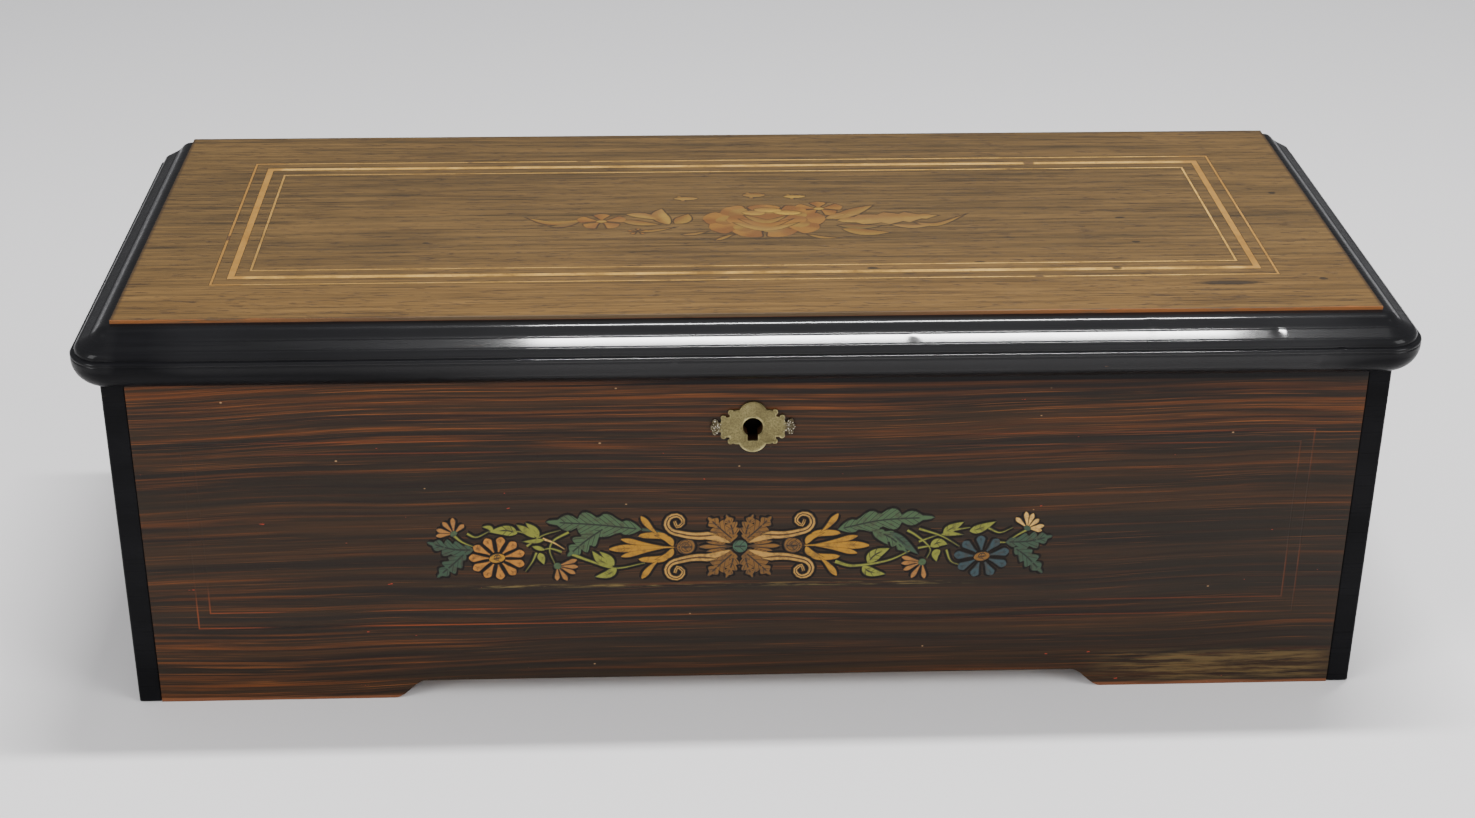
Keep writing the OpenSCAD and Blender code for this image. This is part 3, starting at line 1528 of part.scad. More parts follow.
module worm_wheel() {
    mesh_a = second_a + 180;
    color([0.78, 0.64, 0.35])
    at_case()
    translate([0, third_y, third_z])
    union() {
        bar_x(train_r, gov_x0, gov_x1, 0, 0, 32);
        bar_x(pivot_r, gov_x1 - eps, gov_x1 + gov_plate_t, 0, 0, 32);
        plate_x(second_x - 0.6, second_x + 2.6)
        gear_outline(second_pinion_n, second_m, leaf_form, mesh_a + 180 / second_pinion_n);
        plate_x(fly_x - worm_wheel_w / 2, fly_x + worm_wheel_w / 2)
        gear_outline(worm_n, worm_m, wheel_form, 180 + 180 / worm_n);
        bar_x(3.5, fly_x - worm_wheel_w / 2 - 1, fly_x + worm_wheel_w / 2 + 1, 0, 0, 32);
    }
}

// Endless screw: one right-hand thread, its middle turned away from the worm wheel at the wheel's height
module endless_screw() {
    lead = PI * worm_m;
    turns = 2 * worm_half / lead;
    root = worm_r - 0.65;
    crest = worm_r + 0.45;
    form = [[-76, root], [-26, crest], [0, crest], [26, crest], [76, root]];
    back = [for (a = [110 : 35 : 250]) [a, root]];
    translate([fly_x, fly_y, third_z - worm_half])
    rotate([0, 0, 90 - 180 * turns])
    linear_extrude(height = 2 * worm_half, twist = -360 * turns, slices = ceil(turns * 14))
    polygon([for (p = concat(form, back)) ring_point(p[1], p[0])]);
}

module fly() {
    vane_t = 0.7;
    color([0.62, 0.63, 0.65])
    at_case()
    union() {
        endless_screw();
        translate([fly_x, fly_y, 0]) {
            translate([0, 0, foot_z - 2.5])
            cylinder(r = fly_arbor_r, h = cock_z + cock_t - foot_z + 2, $fn = 32);
            translate([0, 0, foot_z + 0.5]) cylinder(r = 2, h = 2, $fn = 32);
            translate([0, 0, third_z + worm_half - 0.2])
            cylinder(r = 2, h = fly_z0 - third_z - worm_half + 0.3, $fn = 32);
            translate([0, 0, fly_z0]) cylinder(r = 2.2, h = fly_h, $fn = 32);
            translate([-vane_t / 2, -fly_r, fly_z0]) cube([vane_t, 2 * fly_r, fly_h]);
        }
    }
}

// ------------------------------------------------------------------ controls

control_z = cock_z - 9;
control_plate_t = 2;
control_t = 2.5;
stop_reach = 22.5;
stop_rod_r = 1;
stop_rod_z = fly_z1 + stop_rod_r + 0.8;
stop_turn = 14;
control_x0 = right_wall_x + control_plate_t + side_gap;
control_x1 = control_x0 + control_t + side_gap;
control_plate_front = 14;
control_plate_back = 10;
control_plate_low = 16;
control_plate_high = 13;

function control_y(s) = fly_y - stop_reach - (s < 0 ? 0 : control_gap);

// Way of the stop rod through partition and plate
module stop_window() {
    translate([fly_y - 3, stop_rod_z - 8.5]) square([7, 11]);
}

module control_plate() {
    color([0.76, 0.62, 0.33])
    at_case()
    difference() {
        union() {
            block([right_wall_x, control_y(1) - control_plate_front, control_z - control_plate_low],
                  [right_wall_x + control_plate_t, fly_y + control_plate_back,
                   control_z + control_plate_high]);
            for (s = [-1, 1]) {
                bar_x(stud_r, room_x1, control_x1, control_y(s), control_z, 32);
                bar_x(stud_r * 1.8, control_x1, control_x1 + 1.6, control_y(s), control_z, 32);
            }
        }
        plate_x(room_x1, right_wall_x + control_plate_t + 1) stop_window();
    }
}

// Flat lever that stands up from its pivot to a round finger piece
module control_lever(s) {
    translate([0, control_y(s), control_z])
    difference() {
        plate_x(control_x0, control_x0 + control_t)
        union() {
            circle(r = 5.5, $fn = smooth);
            polygon([[-3.2, 0], [3.2, 0], [1.8, control_len], [-1.8, control_len]]);
            translate([0, control_len - 5.5]) circle(r = 5.5, $fn = smooth);
            if (s < 0) stop_arm();
        }
        bar_x(stud_r + run_fit, control_x0 - 1, control_x0 + control_t + 1, 0, 0, 32);
    }
}

// Side arm of the stop lever that carries the rod towards the air vanes
module stop_arm() {
    rod = [stop_reach, stop_rod_z - control_z];
    along = rod / norm(rod);
    across = [-along[1], along[0]];
    polygon([across * 2.6, rod + across * 2, rod - across * 2, -across * 2.6]);
    translate(rod) circle(r = 2.6, $fn = 32);
}

module stop_lever() {
    color([0.74, 0.60, 0.32])
    at_case()
    union() {
        control_lever(-1);
        bar_x(stop_rod_r, fly_x + fly_r * 0.6, control_x0 + eps, fly_y, stop_rod_z, 32);
    }
}

module change_lever() {
    color([0.74, 0.60, 0.32])
    at_case()
    control_lever(1);
}

front_board();
back_board();
left_end();
right_end();
bottom_board();
left_partition();
right_partition();
glass_ledges();
escutcheon();
lock_case();
lock_bolt();
case_hinge_leaves();
hinge_pins();
bed_bearers();
lid_board();
lid_frame();
lid_veneer();
lid_stringing();
moulding_front();
moulding_left();
moulding_right();
lid_hinge_leaves();
case_screws();
lid_screws();
lock_strike();
glass_frame();
glass_pane();
glass_hinge_leaves();
glass_hinge_plates();
glass_knob();
bedplate();
left_bridge();
right_bridge();
movement_screws();
comb_base();
comb();
comb_weights();
barrel_bracket();
spring_barrel();
barrel_cover();
mainspring();
winding_arbor();
ratchet_wheel();
winding_lever();
lever_pawl();
click();
click_fittings();
pinned_cylinder();
cylinder_pins();
cylinder_arbor();
drive_pinion();
great_wheel();
snail_cam();
governor_frame();
second_wheel();
worm_wheel();
fly();
control_plate();
stop_lever();
change_lever();
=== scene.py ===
import json
import math

import bmesh
import bpy
import numpy as np
from mathutils import Matrix, Vector


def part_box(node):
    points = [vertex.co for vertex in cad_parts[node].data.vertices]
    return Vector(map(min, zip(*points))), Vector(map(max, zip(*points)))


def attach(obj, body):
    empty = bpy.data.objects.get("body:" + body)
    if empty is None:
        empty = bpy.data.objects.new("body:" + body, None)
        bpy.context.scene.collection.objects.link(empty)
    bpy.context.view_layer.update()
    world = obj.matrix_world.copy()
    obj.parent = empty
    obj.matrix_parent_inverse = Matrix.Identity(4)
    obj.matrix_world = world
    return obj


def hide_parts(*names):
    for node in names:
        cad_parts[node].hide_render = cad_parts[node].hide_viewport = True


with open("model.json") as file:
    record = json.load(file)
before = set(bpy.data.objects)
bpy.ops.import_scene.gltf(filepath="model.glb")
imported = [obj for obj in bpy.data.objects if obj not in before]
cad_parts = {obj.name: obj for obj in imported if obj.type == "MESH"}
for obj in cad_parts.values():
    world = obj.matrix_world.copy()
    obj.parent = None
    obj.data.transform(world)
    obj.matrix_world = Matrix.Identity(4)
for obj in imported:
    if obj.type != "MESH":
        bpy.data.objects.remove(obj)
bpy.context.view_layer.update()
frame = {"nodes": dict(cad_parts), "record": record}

# Camera: a 58 mm lens half a metre above the floor and 0.9 m in front of the case's middle, looking
# down about 27 degrees.
eye = Vector((-0.04260, -0.90037, 0.53171))
yaw, pitch, roll = -0.0457, 0.4656, 0.0076
focal_length, film_width = 57.615, 36
level = Vector((math.cos(yaw), math.sin(yaw), 0))
ahead = Vector((-math.sin(yaw) * math.cos(pitch), math.cos(yaw) * math.cos(pitch), -math.sin(pitch)))
above = level.cross(ahead)
across = math.cos(roll) * level + math.sin(roll) * above
upright = across.cross(ahead)
camera = bpy.data.objects.new("camera", bpy.data.cameras.new("camera"))
bpy.context.scene.collection.objects.link(camera)
camera.data.lens, camera.data.sensor_width = focal_length, film_width
camera.matrix_world = Matrix.Translation(eye) @ Matrix((across, upright, -ahead)).transposed().to_4x4()
bpy.context.scene.camera = camera


# Studio: a pale floor that runs out of view on all sides, painted darker towards the back as painted
# shade, one long soft light overhead that draws the bright line along the polished moulding, a soft
# light on each side in front, and a room that is brighter in front of the case than behind it.
class Wire:
    """A value between two nodes of a finish. Arithmetic on it lays Math nodes in that finish."""

    def __init__(self, finish, socket):
        self.finish, self.socket = finish, socket

    def __add__(self, other):
        return self.finish.math("ADD", self, other)

    def __sub__(self, other):
        return self.finish.math("SUBTRACT", self, other)

    def __rsub__(self, other):
        return self.finish.math("SUBTRACT", other, self)

    def __mul__(self, other):
        return self.finish.math("MULTIPLY", self, other)

    def __truediv__(self, other):
        return self.finish.math("DIVIDE", self, other)

    def __pow__(self, other):
        return self.finish.math("POWER", self, other)

    def __abs__(self):
        return self.finish.math("ABSOLUTE", self)

    __radd__, __rmul__ = __add__, __mul__


class Finish:
    """A procedural material. Its constants are set on the shader's own sockets."""

    def __init__(self, name, **constants):
        self.material = bpy.data.materials.new(name)
        self.material.use_nodes = True
        self.tree = self.material.node_tree
        self.shader = self.tree.nodes["Principled BSDF"]
        self.spot = None
        for key, value in constants.items():
            self.shader.inputs[key.replace("_", " ")].default_value = value

    def node(self, kind, settings=(), out=0, **sockets):
        """Adds one node: its settings first, with a ramp's stops, then a value or a wire for each
        socket by its identifier. Gives a wire from the output asked for."""
        made = self.tree.nodes.new(kind)
        for key, value in dict(settings).items():
            if key == "stops":
                stops = made.color_ramp.elements
                while len(stops) < len(value):
                    stops.new(1.0)
                for stop, (at, colour) in zip(stops, value):
                    stop.position, stop.color = at, colour
            else:
                setattr(made, key, value)
        for key, value in sockets.items():
            socket = next(s for s in made.inputs if s.identifier.replace(" ", "_") == key)
            self.feed(value, socket)
        outs = made.outputs
        return Wire(self, next(s for s in outs if s.identifier == out) if isinstance(out, str) else outs[out])

    def feed(self, value, socket):
        if isinstance(value, Wire):
            self.tree.links.new(value.socket, socket)
        else:
            socket.default_value = value

    def math(self, operation, *values):
        sockets = dict(zip(("Value", "Value_001"), values))
        return self.node("ShaderNodeMath", {"operation": operation}, **sockets)

    def place(self, scale=(1, 1, 1), shift=(0, 0, 0)):
        """Object coordinates in millimetres, times a scale on each axis, then shifted."""
        if self.spot is None:
            self.spot = self.node("ShaderNodeTexCoord", out="Object")
        return self.node("ShaderNodeMapping", Vector=self.spot, Location=shift,
                         Scale=tuple(1000 * s for s in scale))

    def axes(self):
        """The three object coordinates in millimetres, as separate values."""
        split = self.node("ShaderNodeSeparateXYZ", Vector=self.place())
        return [Wire(self, out) for out in split.socket.node.outputs]

    def noise(self, spot, size=1.0, detail=3.0, rough=0.55, warp=0.0):
        """Cloudy noise about 0.5 whose lumps are roughly the given size in the spot's units."""
        return self.node("ShaderNodeTexNoise", Vector=spot, Scale=1.0 / size, Detail=detail,
                         Roughness=rough, Distortion=warp)

    def mottle(self, scale, detail=3.0, rough=0.55, shift=(0, 0, 0)):
        """Noise whose lumps are roughly one over the scale in millimetres, on each axis."""
        return self.noise(self.place(scale, shift), 1, detail, rough)

    def rise(self, value, low, high):
        """0 below low, 1 above high and a smooth rise between them. It falls where low is the
        greater."""
        return self.node("ShaderNodeMapRange", {"interpolation_type": "SMOOTHSTEP"}, Value=value,
                         From_Min=low, From_Max=high)

    def mix(self, first, second, share):
        return self.node("ShaderNodeMix", {"data_type": "RGBA"}, "Result_Color", Factor_Float=share,
                         A_Color=first, B_Color=second)

    def layers(self, colour, *coats):
        """Lays coats over a colour, one on another. A coat is a colour and the share that covers."""
        for coat, share in coats:
            colour = self.mix(colour, coat, share)
        return colour

    def ramp(self, value, *stops):
        return self.node("ShaderNodeValToRGB", {"stops": stops}, Fac=value)

    def mark(self, name):
        """A value or colour that the piece's mesh carries at each point."""
        return self.node("ShaderNodeAttribute", {"attribute_name": name}, "Fac")

    def tint(self, name):
        return self.node("ShaderNodeAttribute", {"attribute_name": name}, "Color")

    def show(self, colour=None, rough=None, height=None, depth=0.1, **others):
        """Feeds the shader. Height is 0 to 1 and depth is what 1 stands for, in millimetres."""
        if height is not None:
            others["Normal"] = self.node("ShaderNodeBump", Height=height, Distance=depth / 1000)
        if colour is not None:
            others["Base_Color"] = colour
        if rough is not None:
            others["Roughness"] = rough
        for key, value in others.items():
            self.feed(value, self.shader.inputs[key.replace("_", " ")])
        return self


def paint(red, green, blue):
    """A colour given as screen values from 0 to 255, turned to linear light: below 0.04045 the
    value over 12.92, above it the value plus 0.055 over 1.055, to the power 2.4."""
    screen = np.array((red, green, blue)) / 255
    light = np.where(screen < 0.04045, screen / 12.92, ((screen + 0.055) / 1.055) ** 2.4)
    return (*light.tolist(), 1.0)


def grey(light):
    """A ramp's stop that stands for a number."""
    return light, light, light, 1.0


def make(name, points, faces, finish, crease=35):
    """A mesh object from points in metres, smooth except where faces meet more sharply than the
    crease angle in degrees."""
    mesh = bpy.data.meshes.new(name)
    mesh.from_pydata(np.asarray(points).reshape(-1, 3).tolist(), [], faces)
    mesh.validate()
    mesh.shade_smooth()
    mesh.set_sharp_from_angle(angle=math.radians(crease))
    mesh.materials.append(finish.material)
    made = bpy.data.objects.new(name, mesh)
    bpy.context.scene.collection.objects.link(made)
    return made


floor_drop, floor_reach = 0.0002, 14.0
studio_floor = Finish("pale_floor", Roughness=0.55)
spread = studio_floor.noise(studio_floor.place(), 350, 2)
# Painted shade: the floor's colour darkens from front to back, standing in for light falling off.
painted_shade_back = studio_floor.rise(studio_floor.axes()[1], -300, 1500)
floor_with_painted_shade = studio_floor.mix(paint(222, 220, 220), paint(180, 180, 182), painted_shade_back)
studio_floor.show(studio_floor.mix(floor_with_painted_shade, paint(206, 206, 208), spread * 0.4))
floor_corners = np.array([(x, y, -floor_drop) for x, y in ((-1, -1), (1, -1), (1, 1), (-1, 1))])
floor = make("floor", floor_corners * (floor_reach, floor_reach, 1), [(0, 1, 2, 3)], studio_floor)


class Room(Finish):
    """The light from all round. Its nodes are made as a finish's are."""

    def __init__(self, name):
        self.world = bpy.data.worlds.new(name)
        self.world.use_nodes = True
        self.tree = self.world.node_tree
        self.shader = self.tree.nodes["Background"]


room = Room("studio")
front_strength, back_strength = 1.50, 0.30
way = room.node("ShaderNodeTexCoord", out="Generated")
facing = room.node("ShaderNodeSeparateXYZ", out="Y", Vector=way)
strength = room.node("ShaderNodeMapRange", Value=facing, From_Min=-0.9, From_Max=0.9,
                     To_Min=front_strength, To_Max=back_strength)
room.show(Color=(0.80, 0.80, 0.82, 1), Strength=strength)
bpy.context.scene.world = room.world


def soft_light(name, spot, aim, size, power):
    """A rectangular light at a spot, turned to face the aim."""
    lamp = bpy.data.lights.new(name, "AREA")
    lamp.shape, lamp.size, lamp.size_y, lamp.energy = "RECTANGLE", *size, power
    made = bpy.data.objects.new(name, lamp)
    bpy.context.scene.collection.objects.link(made)
    turned = (Vector(aim) - Vector(spot)).to_track_quat("-Z", "Y")
    made.matrix_world = Matrix.LocRotScale(Vector(spot), turned, None)


soft_light("overhead", spot=(0.20, 0.14, 1.60), aim=(0.20, -0.1, 0.15), size=(0.7, 0.074), power=38)
for side in (-1, 1):
    soft_light("side", spot=(side * 2.1, -1.5, 1.3), aim=(0, -0.1, 0), size=(1.2, 1.6), power=48)


# Lid panel: knife-cut walnut veneer on the core board, faded by light, its grain along the lid. Its
# front part is painted lighter and warmer as painted light. The front arris is rubbed and torn to raw
# wood, and a dark glue line shows on both sides of each string.
case_left, case_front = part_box("left_end")[0].x * 1000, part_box("front_board")[0].y * 1000
panel_low, panel_high = (corner * 1000 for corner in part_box("lid_veneer"))
broad_width, broad_inset = 2.6, 39.0
narrow_width, narrow_insets = 0.9, (32.2, 45.8)


def edge_distance(finish, x, y):
    """How far a point of the lid lies inside the panel's nearest edge."""
    return finish.math("MINIMUM", finish.math("MINIMUM", x - panel_low.x, panel_high.x - x),
                       finish.math("MINIMUM", y - panel_low.y, panel_high.y - y))


def worn_marks(finish, x, from_front):
    """1 in the burns and scratches on the lid: each is an oval, roughened by noise, given by its
    place across, its distance from the front and its half sizes."""
    rough = finish.mottle((0.25, 1.2, 1), 4, 0.7, (3, 3, 0)) * 1.6
    found = 0.0
    for across, back, half_width, half_depth in [
            (186, 24, 17, 2.4), (145, 39.5, 2.6, 1.8), (49, 42, 2.8, 1.4), (158, 66, 2.2, 1.2),
            (156, 92, 2.4, 1.3), (226, 118, 2.0, 1.6), (224, 27, 2.2, 1.6), (-128, 72, 1.6, 1.0),
            (92, 47, 2.6, 1.0)]:
        off = ((x - across) / half_width) ** 2 + ((from_front - back) / half_depth) ** 2
        found = finish.math("MAXIMUM", found, finish.rise(off + rough, 1.7, 1.1))
    return found


veneer = Finish("faded_walnut", Specular_IOR_Level=0.22)
x, y = veneer.axes()[:2]
from_edge, from_front = edge_distance(veneer, x, y), y - panel_low.y
front_way = from_front / (panel_high.y - panel_low.y)
# Painted light: the front of the panel is painted lighter and warmer, as though more light fell there, and
# the dark lines show more in it.
painted_front_light = veneer.rise(front_way, 0.42, 0.0)
waver = veneer.noise(veneer.place(), 90, 2) * 14
figure = veneer.noise(veneer.node("ShaderNodeCombineXYZ", X=x * 0.006, Y=(y + waver) * 0.085), 1, 5, 0.62)
fine = veneer.mottle((0.030, 0.95, 1), 5, 0.74)
fine_grain = veneer.ramp(fine, (0.34, paint(27, 20, 13)), (0.62, paint(108, 84, 47)))
streak = veneer.mottle((0.012, 0.42, 1), 5, 0.72, (2, 7, 0))
streaks = veneer.ramp(streak, (0.36, paint(34, 26, 16)), (0.60, paint(120, 90, 48)))
pores = veneer.rise(veneer.mottle((0.16, 1.5, 1), 1, 0.5), 0.60, 0.70)
cloudy = veneer.mottle((0.011, 0.034, 1), 4, 0.6, (3.7, 1.2, 0))
patch = veneer.rise(cloudy + front_way * 0.10, 0.48, 0.60)
dark_lines = veneer.rise(veneer.mottle((0.013, 0.85, 1), 5, 0.68, (5, 5, 0)), 0.53, 0.64)
dots = veneer.node("ShaderNodeTexVoronoi", {"feature": "F1"}, Vector=veneer.place((0.028, 0.05, 1)),
                   Scale=1.0, Randomness=1.0)
blot = veneer.rise(dots + veneer.noise(veneer.place(), 2.5, 2) * 0.05, 0.085, 0.055)
nick = veneer.rise(veneer.mottle((0.11, 0.9, 1), 4, 0.65, (8, 3, 0)), 0.72, 0.76)
rim = veneer.rise(from_edge, 1.6, 0.2)
ragged = veneer.mottle((0.05, 0.35, 1), 4, 0.7, (1, 5, 0))
uneven = veneer.mottle((0.012, 0.2, 1), shift=(6, 1, 0))
torn = veneer.rise(from_front - ragged * 4.4, -1.5, -2.2) * veneer.rise(abs(x + 40), 60, 200)
rubbed_edge = veneer.rise(from_front - uneven * 2.2, -0.2, -0.7)


def line_gap(inset, width):
    """1 in a hairline on both sides of a string: how far the point's distance from the panel's
    edge, less the inset, lies from half the width."""
    return veneer.rise(abs(abs(from_edge - inset) - width / 2), 0.32, 0.08)


glue = line_gap(broad_inset, broad_width)
for inset in narrow_insets:
    glue = veneer.math("MAXIMUM", glue, line_gap(inset, narrow_width))
walnut = veneer.ramp(figure, (0.30, paint(38, 31, 18)), (0.48, paint(58, 46, 27)),
                     (0.62, paint(74, 58, 33)), (0.74, paint(50, 39, 22)))
walnut = veneer.layers(
    walnut, (paint(24, 24, 18), patch * 0.86), (paint(112, 81, 37), painted_front_light * 0.55),
    (fine_grain, 0.46), (streaks, 0.28), (paint(22, 17, 12), dark_lines * (0.16 + painted_front_light * 0.50)),
    (paint(36, 25, 17), pores * 0.7), (paint(50, 38, 30), blot * 0.75), (paint(58, 44, 34), nick * 0.7),
    (paint(34, 23, 14), glue * 0.9), (paint(24, 21, 18), worn_marks(veneer, x, from_front) * 0.8),
    (paint(176, 150, 116), rubbed_edge * 0.45), (paint(34, 24, 16), rim * 0.7),
    (paint(132, 76, 30), torn * 0.7))
relief = fine * 0.5 + (1 - pores) * 0.5 + (1 - glue) * 0.6 + (1 - nick) * 0.5
veneer.show(walnut, veneer.ramp(fine, (0.2, grey(0.46)), (0.8, grey(0.62))), relief, 0.12)


def finish_node(name, finish):
    """Gives a CAD node its finish."""
    coats = frame["nodes"][name].data.materials
    coats.clear()
    coats.append(finish.material)


finish_node("lid_veneer", veneer)

# Stringing: three boxwood lines, a broad one between two narrow ones, glued into grooves in the
# veneer and planed flush. They have yellowed at the ends, and the narrow ones darkened on the left.
stringing = Finish("boxwood_string", Specular_IOR_Level=0.4)
x, y = stringing.axes()[:2]
along = stringing.mottle((0.05, 0.05, 1), 4, 0.7)
flecked = stringing.mottle((0.5, 0.5, 1), 3, 0.6)
narrow = stringing.rise(abs(edge_distance(stringing, x, y) - broad_inset), 2.5, 3.5)
darkened = narrow * stringing.rise(x, 120, -240) * along
end_run = stringing.rise(abs(x), 194, 197)
spots = stringing.rise(stringing.mottle((0.06, 0.06, 1), 2, shift=(4, 9, 0)), 0.70, 0.74)
boxwood = stringing.ramp(along, (0.32, paint(112, 82, 30)), (0.5, paint(158, 122, 54)),
                         (0.7, paint(178, 142, 74)))
boxwood = stringing.layers(
    boxwood, (paint(116, 80, 36), stringing.rise(flecked, 0.56, 0.72) * 0.6),
    (paint(96, 70, 34), darkened * 0.9), (paint(122, 84, 28), end_run * 0.7),
    (paint(60, 42, 28), spots * 0.85),
    (paint(30, 22, 14), worn_marks(stringing, x, y - panel_low.y) * 0.85))
stringing.show(boxwood, 0.46, flecked, 0.06)
finish_node("lid_stringing", stringing)


# Marquetry spray: sawn pieces of pear, maple and tulipwood let into the middle of the panel, each
# shaded along one side in hot sand, with a thin dark saw line round it.
STATIONS, RING = 25, 12
# A blade's half width, as a share of its greatest, at a station t that runs from 0 at its root to 1
# at its tip: mostly a half wave of sine, with teeth, lobes or a notched tip.
outlines = {
    "leaf": lambda t: np.sin(np.pi * t ** 0.8) ** 0.9,
    "petal": lambda t: 0.22 + 0.78 * np.sin(np.pi / 2 * t ** 1.5) - 9.5 * np.clip(t - 0.72, 0, 1) ** 2,
    "oval": lambda t: 2 * np.sqrt(t * (1 - t)),
    "stem": lambda t: 1 - 0.55 * t,
    "scroll": lambda t: (1 - 0.62 * t) * np.clip(t * 9 + 0.25, 0, 1),
    "lobed": lambda t: (np.sin(np.pi * t ** 0.85) ** 0.8
                        * (0.44 + 0.56 * np.abs(np.sin(4.5 * np.pi * t)) ** 0.8)),
    "saw": lambda t: np.sin(np.pi * t ** 0.85) ** 0.8 * (0.62 + 0.38 * (1 - (5 * t) % 1)),
}


def curve(knots, count):
    """A smooth line through the knots: between two knots, the cubic that has their places and
    their slopes, a slope being half the step between the neighbours."""
    knots = np.asarray(knots, float)
    slopes = np.gradient(knots, axis=0)
    at = np.linspace(0, len(knots) - 1, count)
    knot = np.minimum(at.astype(int), len(knots) - 2)
    part = (at - knot)[:, None]
    start = knots[knot] * (1 + 2 * part) * (1 - part) ** 2 + slopes[knot] * part * (1 - part) ** 2
    return start + knots[knot + 1] * part ** 2 * (3 - 2 * part) - slopes[knot + 1] * part ** 2 * (1 - part)


def blade(kind, colour, knots, width, lift):
    """One flat patch: rings across a spine. Across = half width times the outline at that station
    times the cosine of the ring angle; height = lift times the ring angle's sine where it is
    positive, to the power 0.4. Lobed and sawn leaves sweep forwards by half of the way across."""
    knots = np.asarray(knots, float)
    spine = curve(knots, STATIONS)
    t = np.linspace(0, 1, STATIONS)
    way = np.gradient(spine, axis=0)
    way /= np.maximum(np.linalg.norm(way, axis=1, keepdims=True), 1e-9)
    side = np.stack([-way[:, 1], way[:, 0]], axis=1)
    half = np.maximum(width / 2 * outlines[kind](t), 0.02)
    angle = 2 * np.pi * np.arange(RING) / RING
    across = half[:, None] * np.cos(angle)
    sweep = 0.5 * np.abs(across) * np.sin(np.pi * t)[:, None] * (kind in ("lobed", "saw"))
    flat = spine[:, None] + across[..., None] * side[:, None] + sweep[..., None] * way[:, None]
    height = lift * np.maximum(np.sin(angle), 0) ** 0.4 + 0 * across
    marks = {"edge": half[:, None] - np.abs(across), "rib": across,
             "along": t[:, None] * np.linalg.norm(knots[-1] - knots[0]) + 0 * across}
    return {"flat": flat, "height": height, "tint": np.broadcast_to(colour, (STATIONS, RING, 4)), **marks}


def inlay(name, blades, seat, finish, body):
    """Joins blades into one mesh. The seat turns flat places and heights into metres. Each blade's
    first and last ring close on a pole at their middle."""
    rings = seat(np.stack([b["flat"] for b in blades]), np.stack([b["height"] for b in blades]))
    poles = rings[:, [0, -1]].mean(axis=2)
    count = len(blades)
    points = np.concatenate([rings.reshape(count, -1, 3), poles], axis=1)
    station, place = np.meshgrid(np.arange(STATIONS - 1), np.arange(RING), indexing="ij")
    after = (place + 1) % RING
    quads = np.stack([station * RING + place, station * RING + after, (station + 1) * RING + after,
                      (station + 1) * RING + place], axis=-1).reshape(-1, 4)
    around, last = np.arange(RING), (STATIONS - 1) * RING
    first_pole = STATIONS * RING
    first_fan = np.stack([0 * around + first_pole, (around + 1) % RING, around], axis=1)
    last_fan = np.stack([0 * around + first_pole + 1, last + around, last + (around + 1) % RING], axis=1)
    points_each = first_pole + 2
    faces = [face for k in range(count) for part in (quads, first_fan, last_fan)
             for face in (part + k * points_each).tolist()]
    made = make(name, points, faces, finish, 60)
    for mark in ("edge", "rib", "along"):
        values = np.stack([b[mark] for b in blades]).reshape(count, -1)
        values = np.concatenate([values, values[:, :1] * 0, values[:, :1] * 0], axis=1)
        made.data.attributes.new(mark, "FLOAT", "POINT").data.foreach_set("value", values.ravel())
    tints = np.stack([b["tint"] for b in blades]).reshape(count, -1, 4)
    tints = np.concatenate([tints, tints[:, :2]], axis=1)
    made.data.attributes.new("tint", "FLOAT_COLOR", "POINT").data.foreach_set("color", tints.ravel())
    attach(made, body)


pear, maple, tulip = paint(106, 81, 29), paint(120, 94, 36), paint(108, 74, 24)
straw, olive = paint(136, 108, 36), paint(80, 66, 30)


def petals(colour, centre, reach, count, width, start, inner, lift):
    """Petals round a centre, from an inner share of the reach out to the whole of it."""
    made = []
    for k in range(count):
        angle = start + 2 * math.pi * k / count
        out = np.array([math.cos(angle) * reach[0], math.sin(angle) * reach[1]])
        made.append(blade("petal", colour, [centre + inner * out, centre + out], width, lift))
    return made


